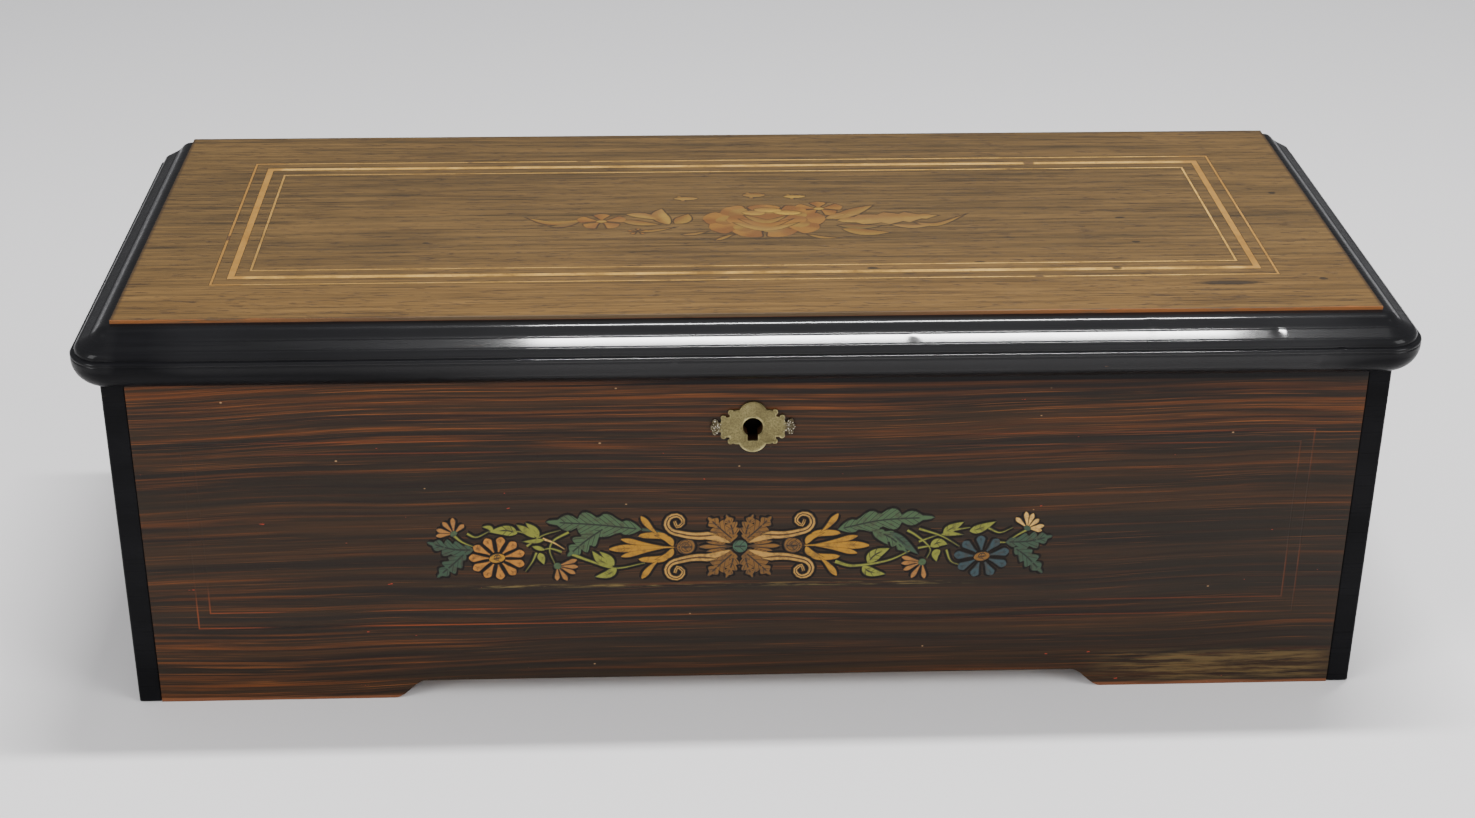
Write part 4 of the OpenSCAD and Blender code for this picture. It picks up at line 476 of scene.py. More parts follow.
def spray():
    """The blades of the marquetry, from the leaves at the ends to the rose in the middle. Places are
    in millimetres: across from the lid's middle, then back from the front board's face."""
    pieces = []
    for ends, width, colour in [
            (((-62, 100), (-78, 97), (-90, 104)), 5.5, pear),
            (((-66, 99), (-74, 94), (-80, 93)), 4.5, olive),
            (((-48, 106), (-40, 104), (-33.7, 98.7)), 6.5, maple),
            (((-50, 99), (-42, 96), (-33, 94)), 6, pear),
            (((37, 98), (46, 106), (56.2, 114.2)), 8, pear),
            (((34, 99), (42, 103), (50, 104)), 7, maple),
            (((39.9, 88.2), (50, 84), (60.6, 83.8)), 7.5, pear),
            (((38, 92), (48, 90), (58, 91)), 6, olive),
            (((70, 94), (80, 92), (94.7, 104.3)), 4.5, pear),
            (((60, 92), (70, 90), (79.8, 92)), 5, maple),
            (((-30, 94), (-34, 104), (-32.8, 112.5)), 8.5, maple),
            (((-28, 95), (-24, 100), (-21.8, 106.3)), 8, pear)]:
        pieces.append(blade("leaf", colour, ends, width, 0.05))
    pieces.append(blade("saw", maple, ((38.4, 96.9), (60, 99), (82.4, 101.6)), 15, 0.05))
    for ends in [((-25.9, 83.2), (-20, 84), (-12.8, 87.6)), ((-12.3, 76.3), (-8, 80), (-2.6, 84.5)),
                 ((24.9, 82.8), (32, 79), (40.5, 78.3)), ((-44, 87), (-36, 88), (-26, 92))]:
        pieces.append(blade("leaf", pear, ends, 3.4, 0.05))
    for at, reach, tip in [((-22.7, 122.8), (5.4, 3.2), straw), ((6, 126), (5, 4), pear),
                           ((23, 124), (5, 3), straw)]:
        middle, half = np.array(at), (reach[0], 0)
        pieces += petals(pear, middle, reach, 3, 3.6, 0.2, 0.1, 0.05)
        pieces.append(blade("oval", tip, (middle - half, middle + half), reach[1] * 1.4, 0.06))
    pieces += petals(tulip, np.array((-42.9, 87.1)), (4.5, 3.4), 5, 3.2, 0.3, 0.1, 0.05)
    for at, reach in [((-57.8, 98.4), (10.4, 8)), ((32.3, 110.2), (10.3, 7.5))]:
        middle, half = np.array(at), (2.4, 0)
        pieces += petals(tulip, middle, reach, 5, 9, 0.31, 0.12, 0.06)
        pieces.append(blade("oval", straw, (middle - half, middle + half), 4, 0.08))
    rose = np.array((9.0, 97.5))
    pieces += petals(tulip, rose, (25.5, 17.5), 9, 17, 0.15, 0.25, 0.06)
    pieces += petals(pear, rose + (0, 1), (20, 13.5), 7, 14, 0.5, 0.2, 0.07)
    pieces.append(blade("oval", tulip, (rose + (-16, 1), rose + (18, 1)), 19, 0.08))
    for colour, left, right, drop, width, lift in [(maple, -13.5, 15.5, -6.5, 6.5, 0.09),
                                                   (tulip, -11, 13, -2.6, 6, 0.10),
                                                   (pear, -8.5, 11, 1.2, 5.6, 0.11)]:
        fold = rose + (left, drop + 5), rose + (1, drop - 2), rose + (right, drop + 5)
        pieces.append(blade("leaf", colour, fold, width, lift))
    for left, right, up in [(-4, 8, 12), (4, 16, 9), (-9, 1, 9)]:
        pieces.append(blade("oval", straw, (rose + (left, up), rose + (right, up - 1)), 6.4, 0.12))
    return pieces


def on_lid(flat, height):
    """Seats places across and back on the lid's top, x and then y behind the front's face, at half
    the blades' heights."""
    return np.stack([flat[..., 0], flat[..., 1] + case_front, panel_high.z + 0.5 * height], axis=-1) / 1000


marquetry = Finish("shaded_marquetry", Specular_IOR_Level=0.35)
edge, rib = marquetry.mark("edge"), marquetry.mark("rib")
grain = marquetry.mottle((0.5, 2.4, 1), 4, 0.65)
scorch = marquetry.rise(rib + marquetry.noise(marquetry.place(), 6, 2) * 2, -1.0, 3.4)
faded = marquetry.rise(marquetry.mottle((0.03, 0.05, 1), 3, 0.6), 0.42, 0.68)
sawn = marquetry.layers(
    marquetry.tint("tint"), (paint(84, 54, 24), marquetry.rise(grain, 0.45, 0.7) * 0.5),
    (paint(78, 44, 18), scorch * 0.65), (paint(96, 70, 38), faded * 0.5),
    (paint(30, 20, 12), marquetry.rise(edge, 1.0, 0.42) * 0.92))
marquetry.show(sawn, 0.5, grain, 0.05)
inlay("lid_marquetry", spray(), on_lid, marquetry, "lid")


# Lid moulding: a hardwood length along the front and each side, mitred at the rounded corners,
# blackened and french polished. From below: a large under-roll, a bead, an ovolo, a hollow, a roll.
lid_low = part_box("lid_frame")[0].z * 1000
lid_height = panel_high.z - lid_low
roll_out, side_inset = 10.4, panel_low.x - case_left


def arc(x, y, radius, start, end, steps):
    """Points at a radius from a centre, from one angle to another in degrees."""
    angle = np.radians(np.linspace(start, end, steps + 1))
    return np.stack([x + radius * np.cos(angle), y + radius * np.sin(angle)], axis=1)


def toward(degrees):
    """The direction at an angle, one long."""
    return np.array((math.cos(math.radians(degrees)), math.sin(math.radians(degrees))))


def moulding_section():
    """The section's points: out from the panel's edge, and up from the underside of the lid. The
    hollow between the nosing and the top roll is two arcs, a slack and a tight one. Where two arcs
    meet they have one slope, so each centre lies on the line through the last one at that slope."""
    under, reach = roll_out - 0.4, side_inset + roll_out
    bead, nose, slack, tight, top = 0.9, 3.4, 260.0, 7.2, 5.6
    nose_in, nose_up, seam, shoulder_drop = 1.7, 2.9, 0.02, 1.4
    steep, steady, shoulder, top_end = 63.5, 62.4, 40, 84
    nose_at = np.array((reach - nose_in - nose, under + nose_up))
    slack_at = nose_at + (nose + slack) * toward(steep)
    tight_at = slack_at + (tight - slack) * toward(steady)
    top_at = tight_at - (tight + top) * toward(shoulder)
    return np.concatenate([
        [(seam, 0)], arc(reach - under, under, under, -90, 6, 24),
        arc(reach - bead, under + 2 * bead, bead, -40, 100, 12), arc(*nose_at, nose, 0, steep, 14),
        arc(*slack_at, slack, steep + 180, steady + 180, 8),
        arc(*tight_at, tight, steady + 180, shoulder + 180, 8),
        arc(*top_at, top, shoulder, top_end, 12), [(seam, lid_height - shoulder_drop)]])


def moulding_path(corner, runs):
    """Places and outward directions along one length: a straight run, a rounded corner of 45
    degrees turned about the panel's corner, or both, as the runs give them."""
    places, ways = [], []
    for kind, start, end, count in runs:
        part = np.linspace(start, end, count)
        if kind == "turn":
            places.append(np.repeat([corner], count, axis=0))
            ways.append(np.stack([np.cos(part), np.sin(part)], axis=1))
        else:
            line = np.stack([part if kind == "x" else 0 * part + corner[0],
                             part if kind == "y" else 0 * part + corner[1]], axis=1)
            places.append(line)
            way = (0, -1) if kind == "x" else (math.copysign(1, corner[0]), 0)
            ways.append(np.repeat([way], count, axis=0))
    return np.concatenate(places), np.concatenate(ways)


# Each dent: its place across, its height over the lid's underside, its radius and its depth.
dents = np.array([(214, 7.5, 1.8, 0.35), (221, 12, 1.2, 0.3), (-241, 13, 2.6, 0.5), (60, 17.6, 1.4, 0.25),
                  (-120, 3.5, 1.5, 0.25), (150, 19.8, 1.1, 0.3), (-30, 9, 1.2, 0.2), (198, 18, 1.6, 0.3)])


def moulding(name, places, ways, node):
    """Sweeps the section along the path: place + way x out, and the section's height up. A dent
    sinks the surface by its depth times e to the minus squared distance over squared radius."""
    section = moulding_section()
    count, size = len(places), len(section)
    flat = places[:, None] + ways[:, None] * section[None, :, :1]
    heights = np.broadcast_to(lid_low + section[None, :, 1:], (count, size, 1))
    rings = np.concatenate([flat, heights], axis=2)
    for x, up, radius, depth in dents:
        far = (rings[..., 0] - x) ** 2 + (rings[..., 2] - lid_low - up) ** 2
        rings[..., 1] += depth * np.exp(-far / radius ** 2) * (rings[..., 1] < panel_low.y - 1)
    step = np.arange(count - 1)[:, None] * size
    along = np.arange(size)[None]
    after = (along + 1) % size
    quads = np.stack([step + along, step + after, step + size + after, step + size + along], axis=-1)
    quads = quads.reshape(-1, 4)
    if np.cross(ways[0], places[-1] - places[0]) > 0:
        quads = quads[:, ::-1]
    caps = [list(range(size)), list(range((count - 1) * size, count * size))]
    made = make(name, rings.reshape(-1, 3) / 1000, quads.tolist() + caps, ebony, 38)
    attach(made, "lid")
    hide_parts(node)


ebony = Finish("ebonised_polish", Coat_Roughness=0.08, Coat_IOR=1.40, Specular_IOR_Level=0.05)
x, z = ebony.axes()[::2]
cloud = ebony.mottle((0.012, 0.03, 0.05), 4, 0.6)
rubs = ebony.rise(ebony.mottle((0.03, 0.4, 0.4), 5, 0.7, (2, 0, 0)), 0.68, 0.74)
chip = ebony.rise(ebony.mottle((0.16, 0.3, 0.3), 3, 0.6, (5, 2, 9)), 0.77, 0.80)
scuffs = ebony.mottle((0.02, 0.6, 0.6), 5, 0.65)
dull_end = ebony.rise(x, -60, -170) * ebony.rise(abs(x), 240, 232)
sideways = ebony.rise(abs(x), 205, 242)
underside = ebony.rise(z, lid_low + 11, lid_low + 6)
black = ebony.ramp(cloud, (0.3, paint(8, 8, 9)), (0.7, paint(16, 16, 18)))
black = ebony.layers(black, (paint(70, 62, 54), rubs * 0.4), (paint(122, 84, 56), chip * 0.8))
polish = 0.85 - rubs * 0.4 - sideways * 0.62 - dull_end * 0.5 - underside * 0.45
ebony.show(black, ebony.ramp(scuffs, (0.3, grey(0.22)), (0.75, grey(0.42))),
           cloud * 0.6 + (1 - chip) * 0.4 + (1 - rubs) * 0.1, 0.3, Coat_Weight=polish)

front_left, front_right = (panel_low.x, panel_low.y), (panel_high.x, panel_low.y)
eighth, clear = math.pi / 4, 0.5
back_end, front_end = panel_high.y, panel_low.y + clear
front_parts = [moulding_path(front_left, [("turn", 5 * eighth, 6 * eighth, 16)]),
               moulding_path(front_left, [("x", panel_low.x + clear, panel_high.x - clear, 480)]),
               moulding_path(front_right, [("turn", 6 * eighth, 7 * eighth, 16)])]
left_run = [("y", back_end, front_end, 180), ("turn", 4 * eighth, 5 * eighth, 16)]
right_run = [("turn", 7 * eighth, 8 * eighth, 16), ("y", front_end, back_end, 180)]
moulding("front_moulding", *(np.concatenate(part) for part in zip(*front_parts)), "moulding_front")
moulding("left_moulding", *moulding_path(front_left, left_run), "moulding_left")
moulding("right_moulding", *moulding_path(front_right, right_run), "moulding_right")


# Front: a plain softwood board painted in oils to look like rosewood, streak over streak along the
# board, then scribed with a double line and varnished. It is chipped and rubbed at the foot. On the
# right, under the lid, its top is darkened with painted shade and a painted shadow line.
front_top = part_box("front_board")[1].z * 1000
front_grain = Finish("painted_rosewood", Specular_IOR_Level=0.15)
x, z = front_grain.axes()[::2]
slope = z - x * 0.012 + front_grain.mottle((0.004, 1, 0.01), 2) * 16


def drawn(across, along, seed, detail=4, rough=0.62):
    """Streaks drawn along the board: noise on its run and its slope, each times a scale."""
    spot = front_grain.node("ShaderNodeCombineXYZ", X=x * along, Y=slope * across, Z=seed)
    return front_grain.noise(spot, 1, detail, rough)


def scribed(left, right, low, high):
    """1 in a hairline along a rectangle: the greater of the point's distances past the sides and
    past the top or foot is 0 on the line."""
    past_sides = abs(x - (left + right) / 2) - (right - left) / 2
    past_ends = abs(z - (low + high) / 2) - (high - low) / 2
    return front_grain.rise(abs(front_grain.math("MAXIMUM", past_sides, past_ends)), 0.42, 0.12)


broad = drawn(0.13, 0.0028, 1.0)
fine = drawn(0.42, 0.006, 7.0, 5, 0.7)
hair = drawn(1.9, 0.012, 3.0, 3, 0.6)
height = z / front_top
warm_top = front_grain.rise(height, 0.62, 0.99) * 0.62
warm = warm_top + front_grain.rise(x, -60, -240) * front_grain.rise(height, 0.5, 0.05) * 0.6
orange = front_grain.rise(fine + warm * 0.10, 0.50, 0.74) * (0.40 + 0.45 * warm)
bands = front_grain.rise(drawn(0.05, 0.0018, 20.0, 3, 0.55), 0.48, 0.58)
bright_hair = front_grain.rise(hair + warm * 0.06, 0.60, 0.72) * (0.28 + 0.42 * warm)
dark_streak = front_grain.rise(drawn(0.50, 0.005, 12.0, 5, 0.66), 0.50, 0.66)
smear_middle, smear_up = -17, 50.5
smear = front_grain.rise(front_grain.mottle((0.05, 1, 0.7), 5, 0.7, (3, 0, 2)), 0.46, 0.64)
smear = (smear * front_grain.rise(abs(z - smear_up + x * 0.006), 1.3, 0.0)
         * front_grain.rise(abs(x - smear_middle), 115, 80))
double_line = front_grain.math("MAXIMUM", scribed(-218, 218, 34, 116), scribed(-213, 213, 41, 111))
patchy = front_grain.rise(front_grain.mottle((0.01, 1, 0.02), shift=(6, 0, 4)), 0.44, 0.62)
low_left = front_grain.rise(x, 0, -150) * front_grain.rise(z, 60, 30)
dots = front_grain.node("ShaderNodeTexVoronoi", {"feature": "F1"},
                        Vector=front_grain.place((0.05, 1, 0.08)), Scale=1.0)
fleck = front_grain.rise(dots, 0.032, 0.014)
foot = front_grain.rise(z, 26, 2)
chips = front_grain.mottle((0.13, 1, 0.4), 3, 0.6, (2, 0, 5))
chips = front_grain.rise(chips + foot * 0.045, 0.745, 0.76)
patch_middle, patch_up = 190, 9
rubbed = front_grain.rise(front_grain.mottle((0.03, 1, 0.5), 5, 0.7, (1, 0, 8)), 0.42, 0.60)
rubbed = (rubbed * front_grain.rise(abs(x - patch_middle), 58, 30)
          * front_grain.rise(abs(z - patch_up), 9, 4))
under_lid = front_top - 2.6
# Painted shade: darker towards the top on the right, where the lid overhangs the board.
painted_shade_under_lid = front_grain.rise(z, under_lid - 13, under_lid) * front_grain.rise(x, -60, 110)
# Painted shadow: a near-black line in the top of the board on the right, for the gap under the lid.
painted_shadow_gap = front_grain.rise(z, under_lid - 0.6, under_lid) * front_grain.rise(x, -110, -10)
arris = front_grain.rise(z - front_grain.mottle((0.02, 1, 1)) * 3, 0.2, -0.8)
rosewood = front_grain.ramp(broad, (0.30, paint(24, 19, 14)), (0.46, paint(32, 24, 16)),
                            (0.60, paint(46, 31, 18)), (0.74, paint(29, 21, 14)))
rosewood = front_grain.layers(
    rosewood, (paint(108, 58, 23), orange), (paint(28, 24, 19), bands * 0.55),
    (paint(138, 80, 35), bright_hair), (paint(20, 14, 12), dark_streak * 0.62),
    (paint(134, 116, 66), smear * 0.42),
    (paint(128, 60, 28), double_line * patchy * (0.25 + 0.5 * low_left)),
    (paint(176, 140, 100), fleck * 0.55), (paint(142, 50, 34), chips * 0.85),
    (paint(112, 92, 54), rubbed * 0.42), (paint(24, 18, 14), painted_shade_under_lid * 0.6), (paint(5, 4, 4), painted_shadow_gap * 0.97),
    (paint(120, 74, 48), arris * 0.6))
front_grain.show(rosewood, 0.34 + fine * 0.22 + rubbed * 0.2,
                 fine * 0.5 + hair * 0.3 + (1 - double_line) * 0.5 + (1 - chips) * 0.5, 0.16)
finish_node("front_board", front_grain)


# Front ornament: a transfer of leaves, flowers and gold scrolls, each with a dark outline, laid on
# the painted board over a dark ground that follows it. Worn through in places.
sage, deep_sage, sprig = paint(50, 70, 42), paint(36, 56, 38), paint(104, 106, 32)
gold, tan, cream = paint(140, 98, 8), paint(100, 66, 14), paint(150, 112, 48)
peach, pink, blue = paint(146, 94, 26), paint(130, 86, 34), paint(32, 50, 54)
pale, bronze, teal, ground = paint(180, 142, 72), paint(92, 60, 10), paint(44, 70, 50), paint(10, 7, 5)


def spiral(centre, radius, start, turns, tail):
    """Knots of a scroll: a tail, then turns round a centre with the radius shrinking evenly."""
    t = np.linspace(0, 1, 14)
    angle = math.radians(start) + 2 * np.pi * turns * t
    r = radius * (1 - 0.78 * t)
    curl = np.stack([centre[0] + r * np.cos(angle), centre[1] + r * np.sin(angle)], axis=1)
    return np.concatenate([np.asarray(tail, float).reshape(-1, 2), curl])


def even(knots, count):
    """Knots spread evenly along the length of the line through them."""
    line = curve(knots, 200)
    run = np.concatenate([[0], np.cumsum(np.linalg.norm(np.diff(line, axis=0), axis=1))])
    at = np.linspace(0, run[-1], count)
    return np.stack([np.interp(at, run, line[:, 0]), np.interp(at, run, line[:, 1])], axis=1)


def daisy(centre, reach, count, colour, eye_colour):
    """A flower seen from the front: petals round an eye with a dark curl in it."""
    centre = np.array(centre, float)
    made = petals(colour, centre, reach, count, 4.5, 0.25, 0.3, 0.15)
    made.append(blade("oval", eye_colour, (centre - (3.2, 0.6), centre + (3.2, 0.6)), 4.4, 0.2))
    made.append(blade("scroll", ground, even(spiral(centre, 1.7, 20, 1.2, ()), 8), 0.5, 0.23))
    return made


def tuft(base, tips, colour, cup):
    """A half-open flower: narrow petals from one base to each tip, in a small green cup."""
    made = [blade("petal", colour, (base, tip), 2.7, 0.14) for tip in tips]
    middle = np.mean(tips, axis=0)
    start = np.array(base, float) + 0.25 * (np.array(base) - middle)
    made.append(blade("oval", cup, (start, start + 0.42 * (middle - start)), 3.4, 0.18))
    return made


def transfer():
    """The ornament's blades by group, from the points of its design in millimetres about its
    middle: right, then up."""
    green, scrolls, flowers = [], [], []
    for kind, colour, width, knots in [
            ("lobed", deep_sage, 8.5, ((-103.8, 0.1), (-112, 0.6), (-122.1, 3.9))),
            ("lobed", deep_sage, 8, ((-107, -1), (-112, -6), (-118.9, -12.3))),
            ("leaf", sprig, 2.4, ((-96.1, 8.2), (-97.5, 10), (-100.5, 10.4))),
            ("leaf", sprig, 5, ((-86.6, 7.2), (-91, 8.6), (-98, 8.1))),
            ("leaf", sprig, 3.4, ((-79.8, 5.1), (-83.4, 8.5), (-87.3, 11.4))),
            ("leaf", sprig, 3.6, ((-78.6, 4.8), (-80.2, 8.6), (-83.6, 12.2))),
            ("leaf", sprig, 2.4, ((-76, 4.3), (-80, 3.6), (-85.4, 3.5))),
            ("lobed", sage, 11.5, ((-38, 8.2), (-56, 10.6), (-75.8, 12.2))),
            ("lobed", sage, 9.5, ((-52.3, 9.4), (-60, 3.6), (-67.7, -3.6))),
            ("leaf", sprig, 3.4, ((-78.4, -1.6), (-77.6, -4), (-76.6, -7.2))),
            ("leaf", sprig, 2.4, ((-76, -0.4), (-79, 0.6), (-81.4, 1.4))),
            ("leaf", sprig, 4, ((-49.6, -8.4), (-54.5, -5.5), (-58, -0.8))),
            ("leaf", sprig, 3.4, ((-49.2, -8), (-51.5, -4.6), (-55.2, -1.2))),
            ("leaf", sprig, 4, ((-48.2, -8.8), (-51.6, -11.8), (-57.2, -13))),
            ("lobed", sage, 10.5, ((38.3, 6.9), (56, 10.8), (76.8, 11.7))),
            ("lobed", sage, 6.5, ((53.1, 6.2), (60, 2.4), (66.5, -4.4))),
            ("leaf", sage, 3.6, ((52.1, 6), (55.6, 3.2), (58.7, -0.6))),
            ("leaf", deep_sage, 4.4, ((59, 5.4), (64, 0.8), (70.9, -5.2))),
            ("leaf", sprig, 5.4, ((50.6, -8.6), (53.6, -4.8), (59.4, -1.8))),
            ("leaf", sprig, 4.6, ((48.6, -9.8), (51.8, -12.6), (58.2, -13.8))),
            ("leaf", sprig, 4.4, ((75.2, -1.6), (78.4, 0.2), (82.2, -0.6))),
            ("leaf", sprig, 3.6, ((79.2, -3), (77.4, -5), (78, -8.6))),
            ("leaf", sprig, 4.2, ((80, 4.2), (83.2, 6.6), (88.3, 9.6))),
            ("leaf", sprig, 2.4, ((79, 3.9), (83, 4.2), (88.6, 3.6))),
            ("leaf", sprig, 4.2, ((90.3, 5.2), (94.6, 6.4), (101, 9.6))),
            ("lobed", deep_sage, 8.5, ((104.8, 0), (114, 0.3), (123.6, 2.6))),
            ("lobed", deep_sage, 8, ((108.4, -2.4), (114, -7), (120.6, -14.6)))]:
        green.append(blade(kind, colour, knots, width, 0.12))
    for colour, width, knots in [
            (sprig, 1.65, ((-111.6, 6.9), (-108.3, 3.7), (-103.7, 1.4))),
            (sprig, 1.5, ((-106.2, 7.4), (-102.7, 5.8), (-97.7, 8.2))),
            (sprig, 1.5, ((-89.6, 7.5), (-86, 8), (-80, 5.4))),
            (sprig, 1.35, ((-83.2, 1.4), (-77.1, 6), (-69.9, 8.4))),
            (pale, 1.5, ((-76.9, 4.7), (-72.5, 2.7), (-68.5, -0.2))),
            (sprig, 1.5, ((-69.6, -1.4), (-74, 0.2), (-78.4, -0.6))),
            (sprig, 1.35, ((-79.5, -1.6), (-81.2, -5.6), (-84.1, -10.1))),
            (sprig, 1.5, ((-66.7, 7.4), (-72.6, 3.8), (-74.3, -0.8), (-72.5, -6.6))),
            (sprig, 1.8, ((-65.8, -2.4), (-59.3, -5.4), (-48.9, -9.1), (-37.1, -6.9))),
            (deep_sage, 1.8, ((-38, 8.2), (-33, 7.4), (-30, 6.4))),
            (sprig, 1.5, ((70.5, 6.6), (79.3, 3.3), (86.7, -1.6))),
            (sprig, 1.5, ((65.9, 6), (69, 4), (73.3, 0.2), (75.3, -3), (74, -6.8))),
            (sprig, 1.95, ((37.8, -7.6), (45.2, -9.7), (58.6, -7.5), (67.3, -3.2))),
            (sprig, 1.5, ((70.3, -2), (74, -1.4), (77.2, -1.2))),
            (sprig, 1.35, ((70.6, 0.8), (75, 2.6), (79, 4))),
            (sprig, 1.35, ((81.6, -3), (83.8, -8.4), (88.9, -10.4))),
            (sprig, 1.5, ((84.7, 6), (90.7, 6.9))),
            (sprig, 1.35, ((97.9, 6.4), (102.5, 4.4), (107.5, 6.6))),
            (sprig, 1.65, ((101.1, 0), (105.5, -0.1))),
            (sprig, 1.5, ((114.3, 6.2), (109.5, 3.2), (106, 0.6)))]:
        green.append(blade("stem", colour, knots, width, 0.1))
    for side, up, colour in [(-1, 1, tan), (1, 1, bronze), (-1, -1, bronze), (1, -1, bronze)]:
        root = np.array((side * 2.2, up * 2.8))
        for turn, share, width in [(0.0, 1.0, 8.4), (-0.40, 0.84, 6.4), (0.40, 0.84, 6.4)]:
            angle = math.atan2(up * 13.2, side * 12.4) + turn * side * up
            tip = np.array([math.cos(angle), math.sin(angle)]) * 18.4 * share
            scrolls.append(blade("lobed", colour, (root, tip * 0.55, tip), width, 0.13))
        for fan in (0.45, 0.72):
            frond = np.array(((3, 1.5), (10, 2.2 + 3 * fan), (19.5, 2.4 + 4.4 * fan))) * (side, up)
            scrolls.append(blade("leaf", cream, frond, 2.2, 0.15))
    for side in (-1, 1):
        for out, up, width in [(15.8, 0, 2.6), (13, 2.2, 1.8), (13, -2.2, 1.8)]:
            scrolls.append(blade("petal", tan, ((side * 2.8, 0), (side * out, up)), width, 0.12))
        boss = even(spiral((side * 21, 0), 3.4, 90, 1.6 * side, ()), 10)
        scrolls.append(blade("oval", bronze, ((side * 21 - 3.6, 0), (side * 21 + 3.6, 0)), 7, 0.10))
        scrolls.append(blade("scroll", tan, boss, 1.7, 0.16))
        for up in (1, -1):
            tail = np.array(((9, 5.4), (15, 4.8), (20, 5.2))) * (side, up)
            run = even(spiral((side * 24.6, up * 11), 4.6, -90 * up, 1.35 * side * up, tail), 12)
            scrolls.append(blade("scroll", cream, run, 4.0, 0.16))
            scrolls.append(blade("scroll", bronze, run, 1.0, 0.2))
            for kind, width, lift, knots in [
                    ("leaf", 3.4, 0.13, ((26.6, 1.0), (30, 5), (37.4, 5.4), (40, 5))),
                    ("petal", 3.4, 0.14, ((31, 5), (34.6, 8.6), (38.5, 14))),
                    ("leaf", 3.2, 0.15, ((26, 0.4), (28, 3.6), (33.6, 5.6))),
                    ("petal", 3.2, 0.13, ((30, 0.4), (38, 1.8), (46.4, 3.9)))]:
                scrolls.append(blade(kind, gold, np.array(knots) * (side, up), width, lift))
        scrolls.append(blade("petal", gold, ((side * 25.6, 0), (side * 38, 0), (side * 51, -0.5)), 4.4, 0.15))
    flowers += daisy((-94.9, -3.8), (11, 9.6), 11, peach, gold)
    flowers += daisy((95.8, -6.3), (11, 9.4), 9, blue, tan)
    for base, colour, cup, tips in [
            ((-111.3, 7.5), pink, sage,
             [(-118.2, 6.6), (-118, 9.4), (-115.4, 12.8), (-111.5, 14.6), (-107.2, 11.6)]),
            ((-71.5, -7.7), pink, sage,
             [(-63.8, -5), (-63.4, -8.2), (-64.5, -11.3), (-67.8, -14.4), (-71.8, -14.3)]),
            ((72.3, -8.4), pink, sage,
             [(64.1, -6), (64, -8.9), (65, -12), (68.2, -15.6), (73.4, -16)]),
            ((113.2, 6.2), pale, deep_sage,
             [(108.4, 11), (112.3, 13.6), (115.2, 12.8), (117.6, 10.2), (119.8, 7.2), (119, 5)])]:
        flowers += tuft(base, tips, colour, cup)
    flowers.append(blade("oval", teal, ((-2.7, 0), (3.1, 0)), 6, 0.2))
    return green, scrolls, flowers


ornament_x, ornament_z = -4.7, 67.9


def on_front(flat, height):
    """Seats places right and up about the ornament's middle on the front board's face."""
    places = [flat[..., 0] + ornament_x, case_front - height, flat[..., 1] + ornament_z]
    return np.stack(places, axis=-1) / 1000


def wider(blades, by, lift):
    """The ground under the blades: each one spread outwards by a margin and laid lower."""
    made = []
    for b in blades:
        middle = b["flat"].mean(axis=1, keepdims=True)
        out = b["flat"] - middle
        size = np.linalg.norm(out, axis=2, keepdims=True)
        flat = middle + out * (1 + by / np.maximum(size, 0.3))
        low = b["height"] * lift / max(b["height"].max(), 1e-6)
        made.append({**b, "flat": flat, "height": low, "tint": np.broadcast_to(ground, b["tint"].shape)})
    return made


transfer_paint = Finish("transfer_paint", Coat_Weight=0.06, Coat_Roughness=0.3, Specular_IOR_Level=0.25)
edge, rib, along = (transfer_paint.mark(name) for name in ("edge", "rib", "along"))
from_rib = abs(rib)
wide = transfer_paint.rise(edge + from_rib, 1.5, 2.3)
veins = transfer_paint.rise(transfer_paint.math("FRACT", (along - from_rib * 0.9) * 0.36), 0.76, 0.90)
ink = transfer_paint.math("MAXIMUM", transfer_paint.rise(from_rib, 0.46, 0.18), veins * 0.8) * wide
shade = transfer_paint.noise(transfer_paint.place(), 2.2, 3, 0.6)
wear = transfer_paint.rise(transfer_paint.mottle((0.4, 1, 0.5), 5, 0.7, (3, 0, 1)), 0.66, 0.70)
hue = transfer_paint.layers(
    transfer_paint.tint("tint"), (paint(44, 32, 18), transfer_paint.rise(shade, 0.46, 0.70) * 0.5),
    (paint(9, 7, 5), ink * 0.92), (paint(9, 7, 5), transfer_paint.rise(edge, 0.5, 0.16) * 0.88),
    (paint(46, 32, 24), wear * 0.8))
transfer_paint.show(hue, 0.42, shade, 0.05)

green, scrolls, flowers = transfer()
inlay("front_foliage", green, on_front, transfer_paint, "case")
inlay("front_scrolls", scrolls, on_front, transfer_paint, "case")
inlay("front_flowers", flowers, on_front, transfer_paint, "case")

ground_paint = Finish("transfer_ground", Roughness=0.45, Specular_IOR_Level=0.12)
cloud = ground_paint.noise(ground_paint.place(), 3, 3, 0.6)
dark = ground_paint.ramp(cloud, (0.3, paint(12, 10, 8)), (0.7, paint(22, 17, 13)))
ground_paint.show(dark, None, cloud, 0.04)
ground_blades = wider(green + scrolls + flowers, 0.85, 0.03)
inlay("front_ornament_ground", ground_blades, on_front, ground_paint, "case")


# Case boards: the ends are blackened and polished like the moulding, the back is stained brown, and
# inside are bare spruce and beech and black stained partitions. They are butted, glued and nailed.
bodies = {node: body for body, members in frame["record"]["behaviour"]["bodies"].items() for node in members}


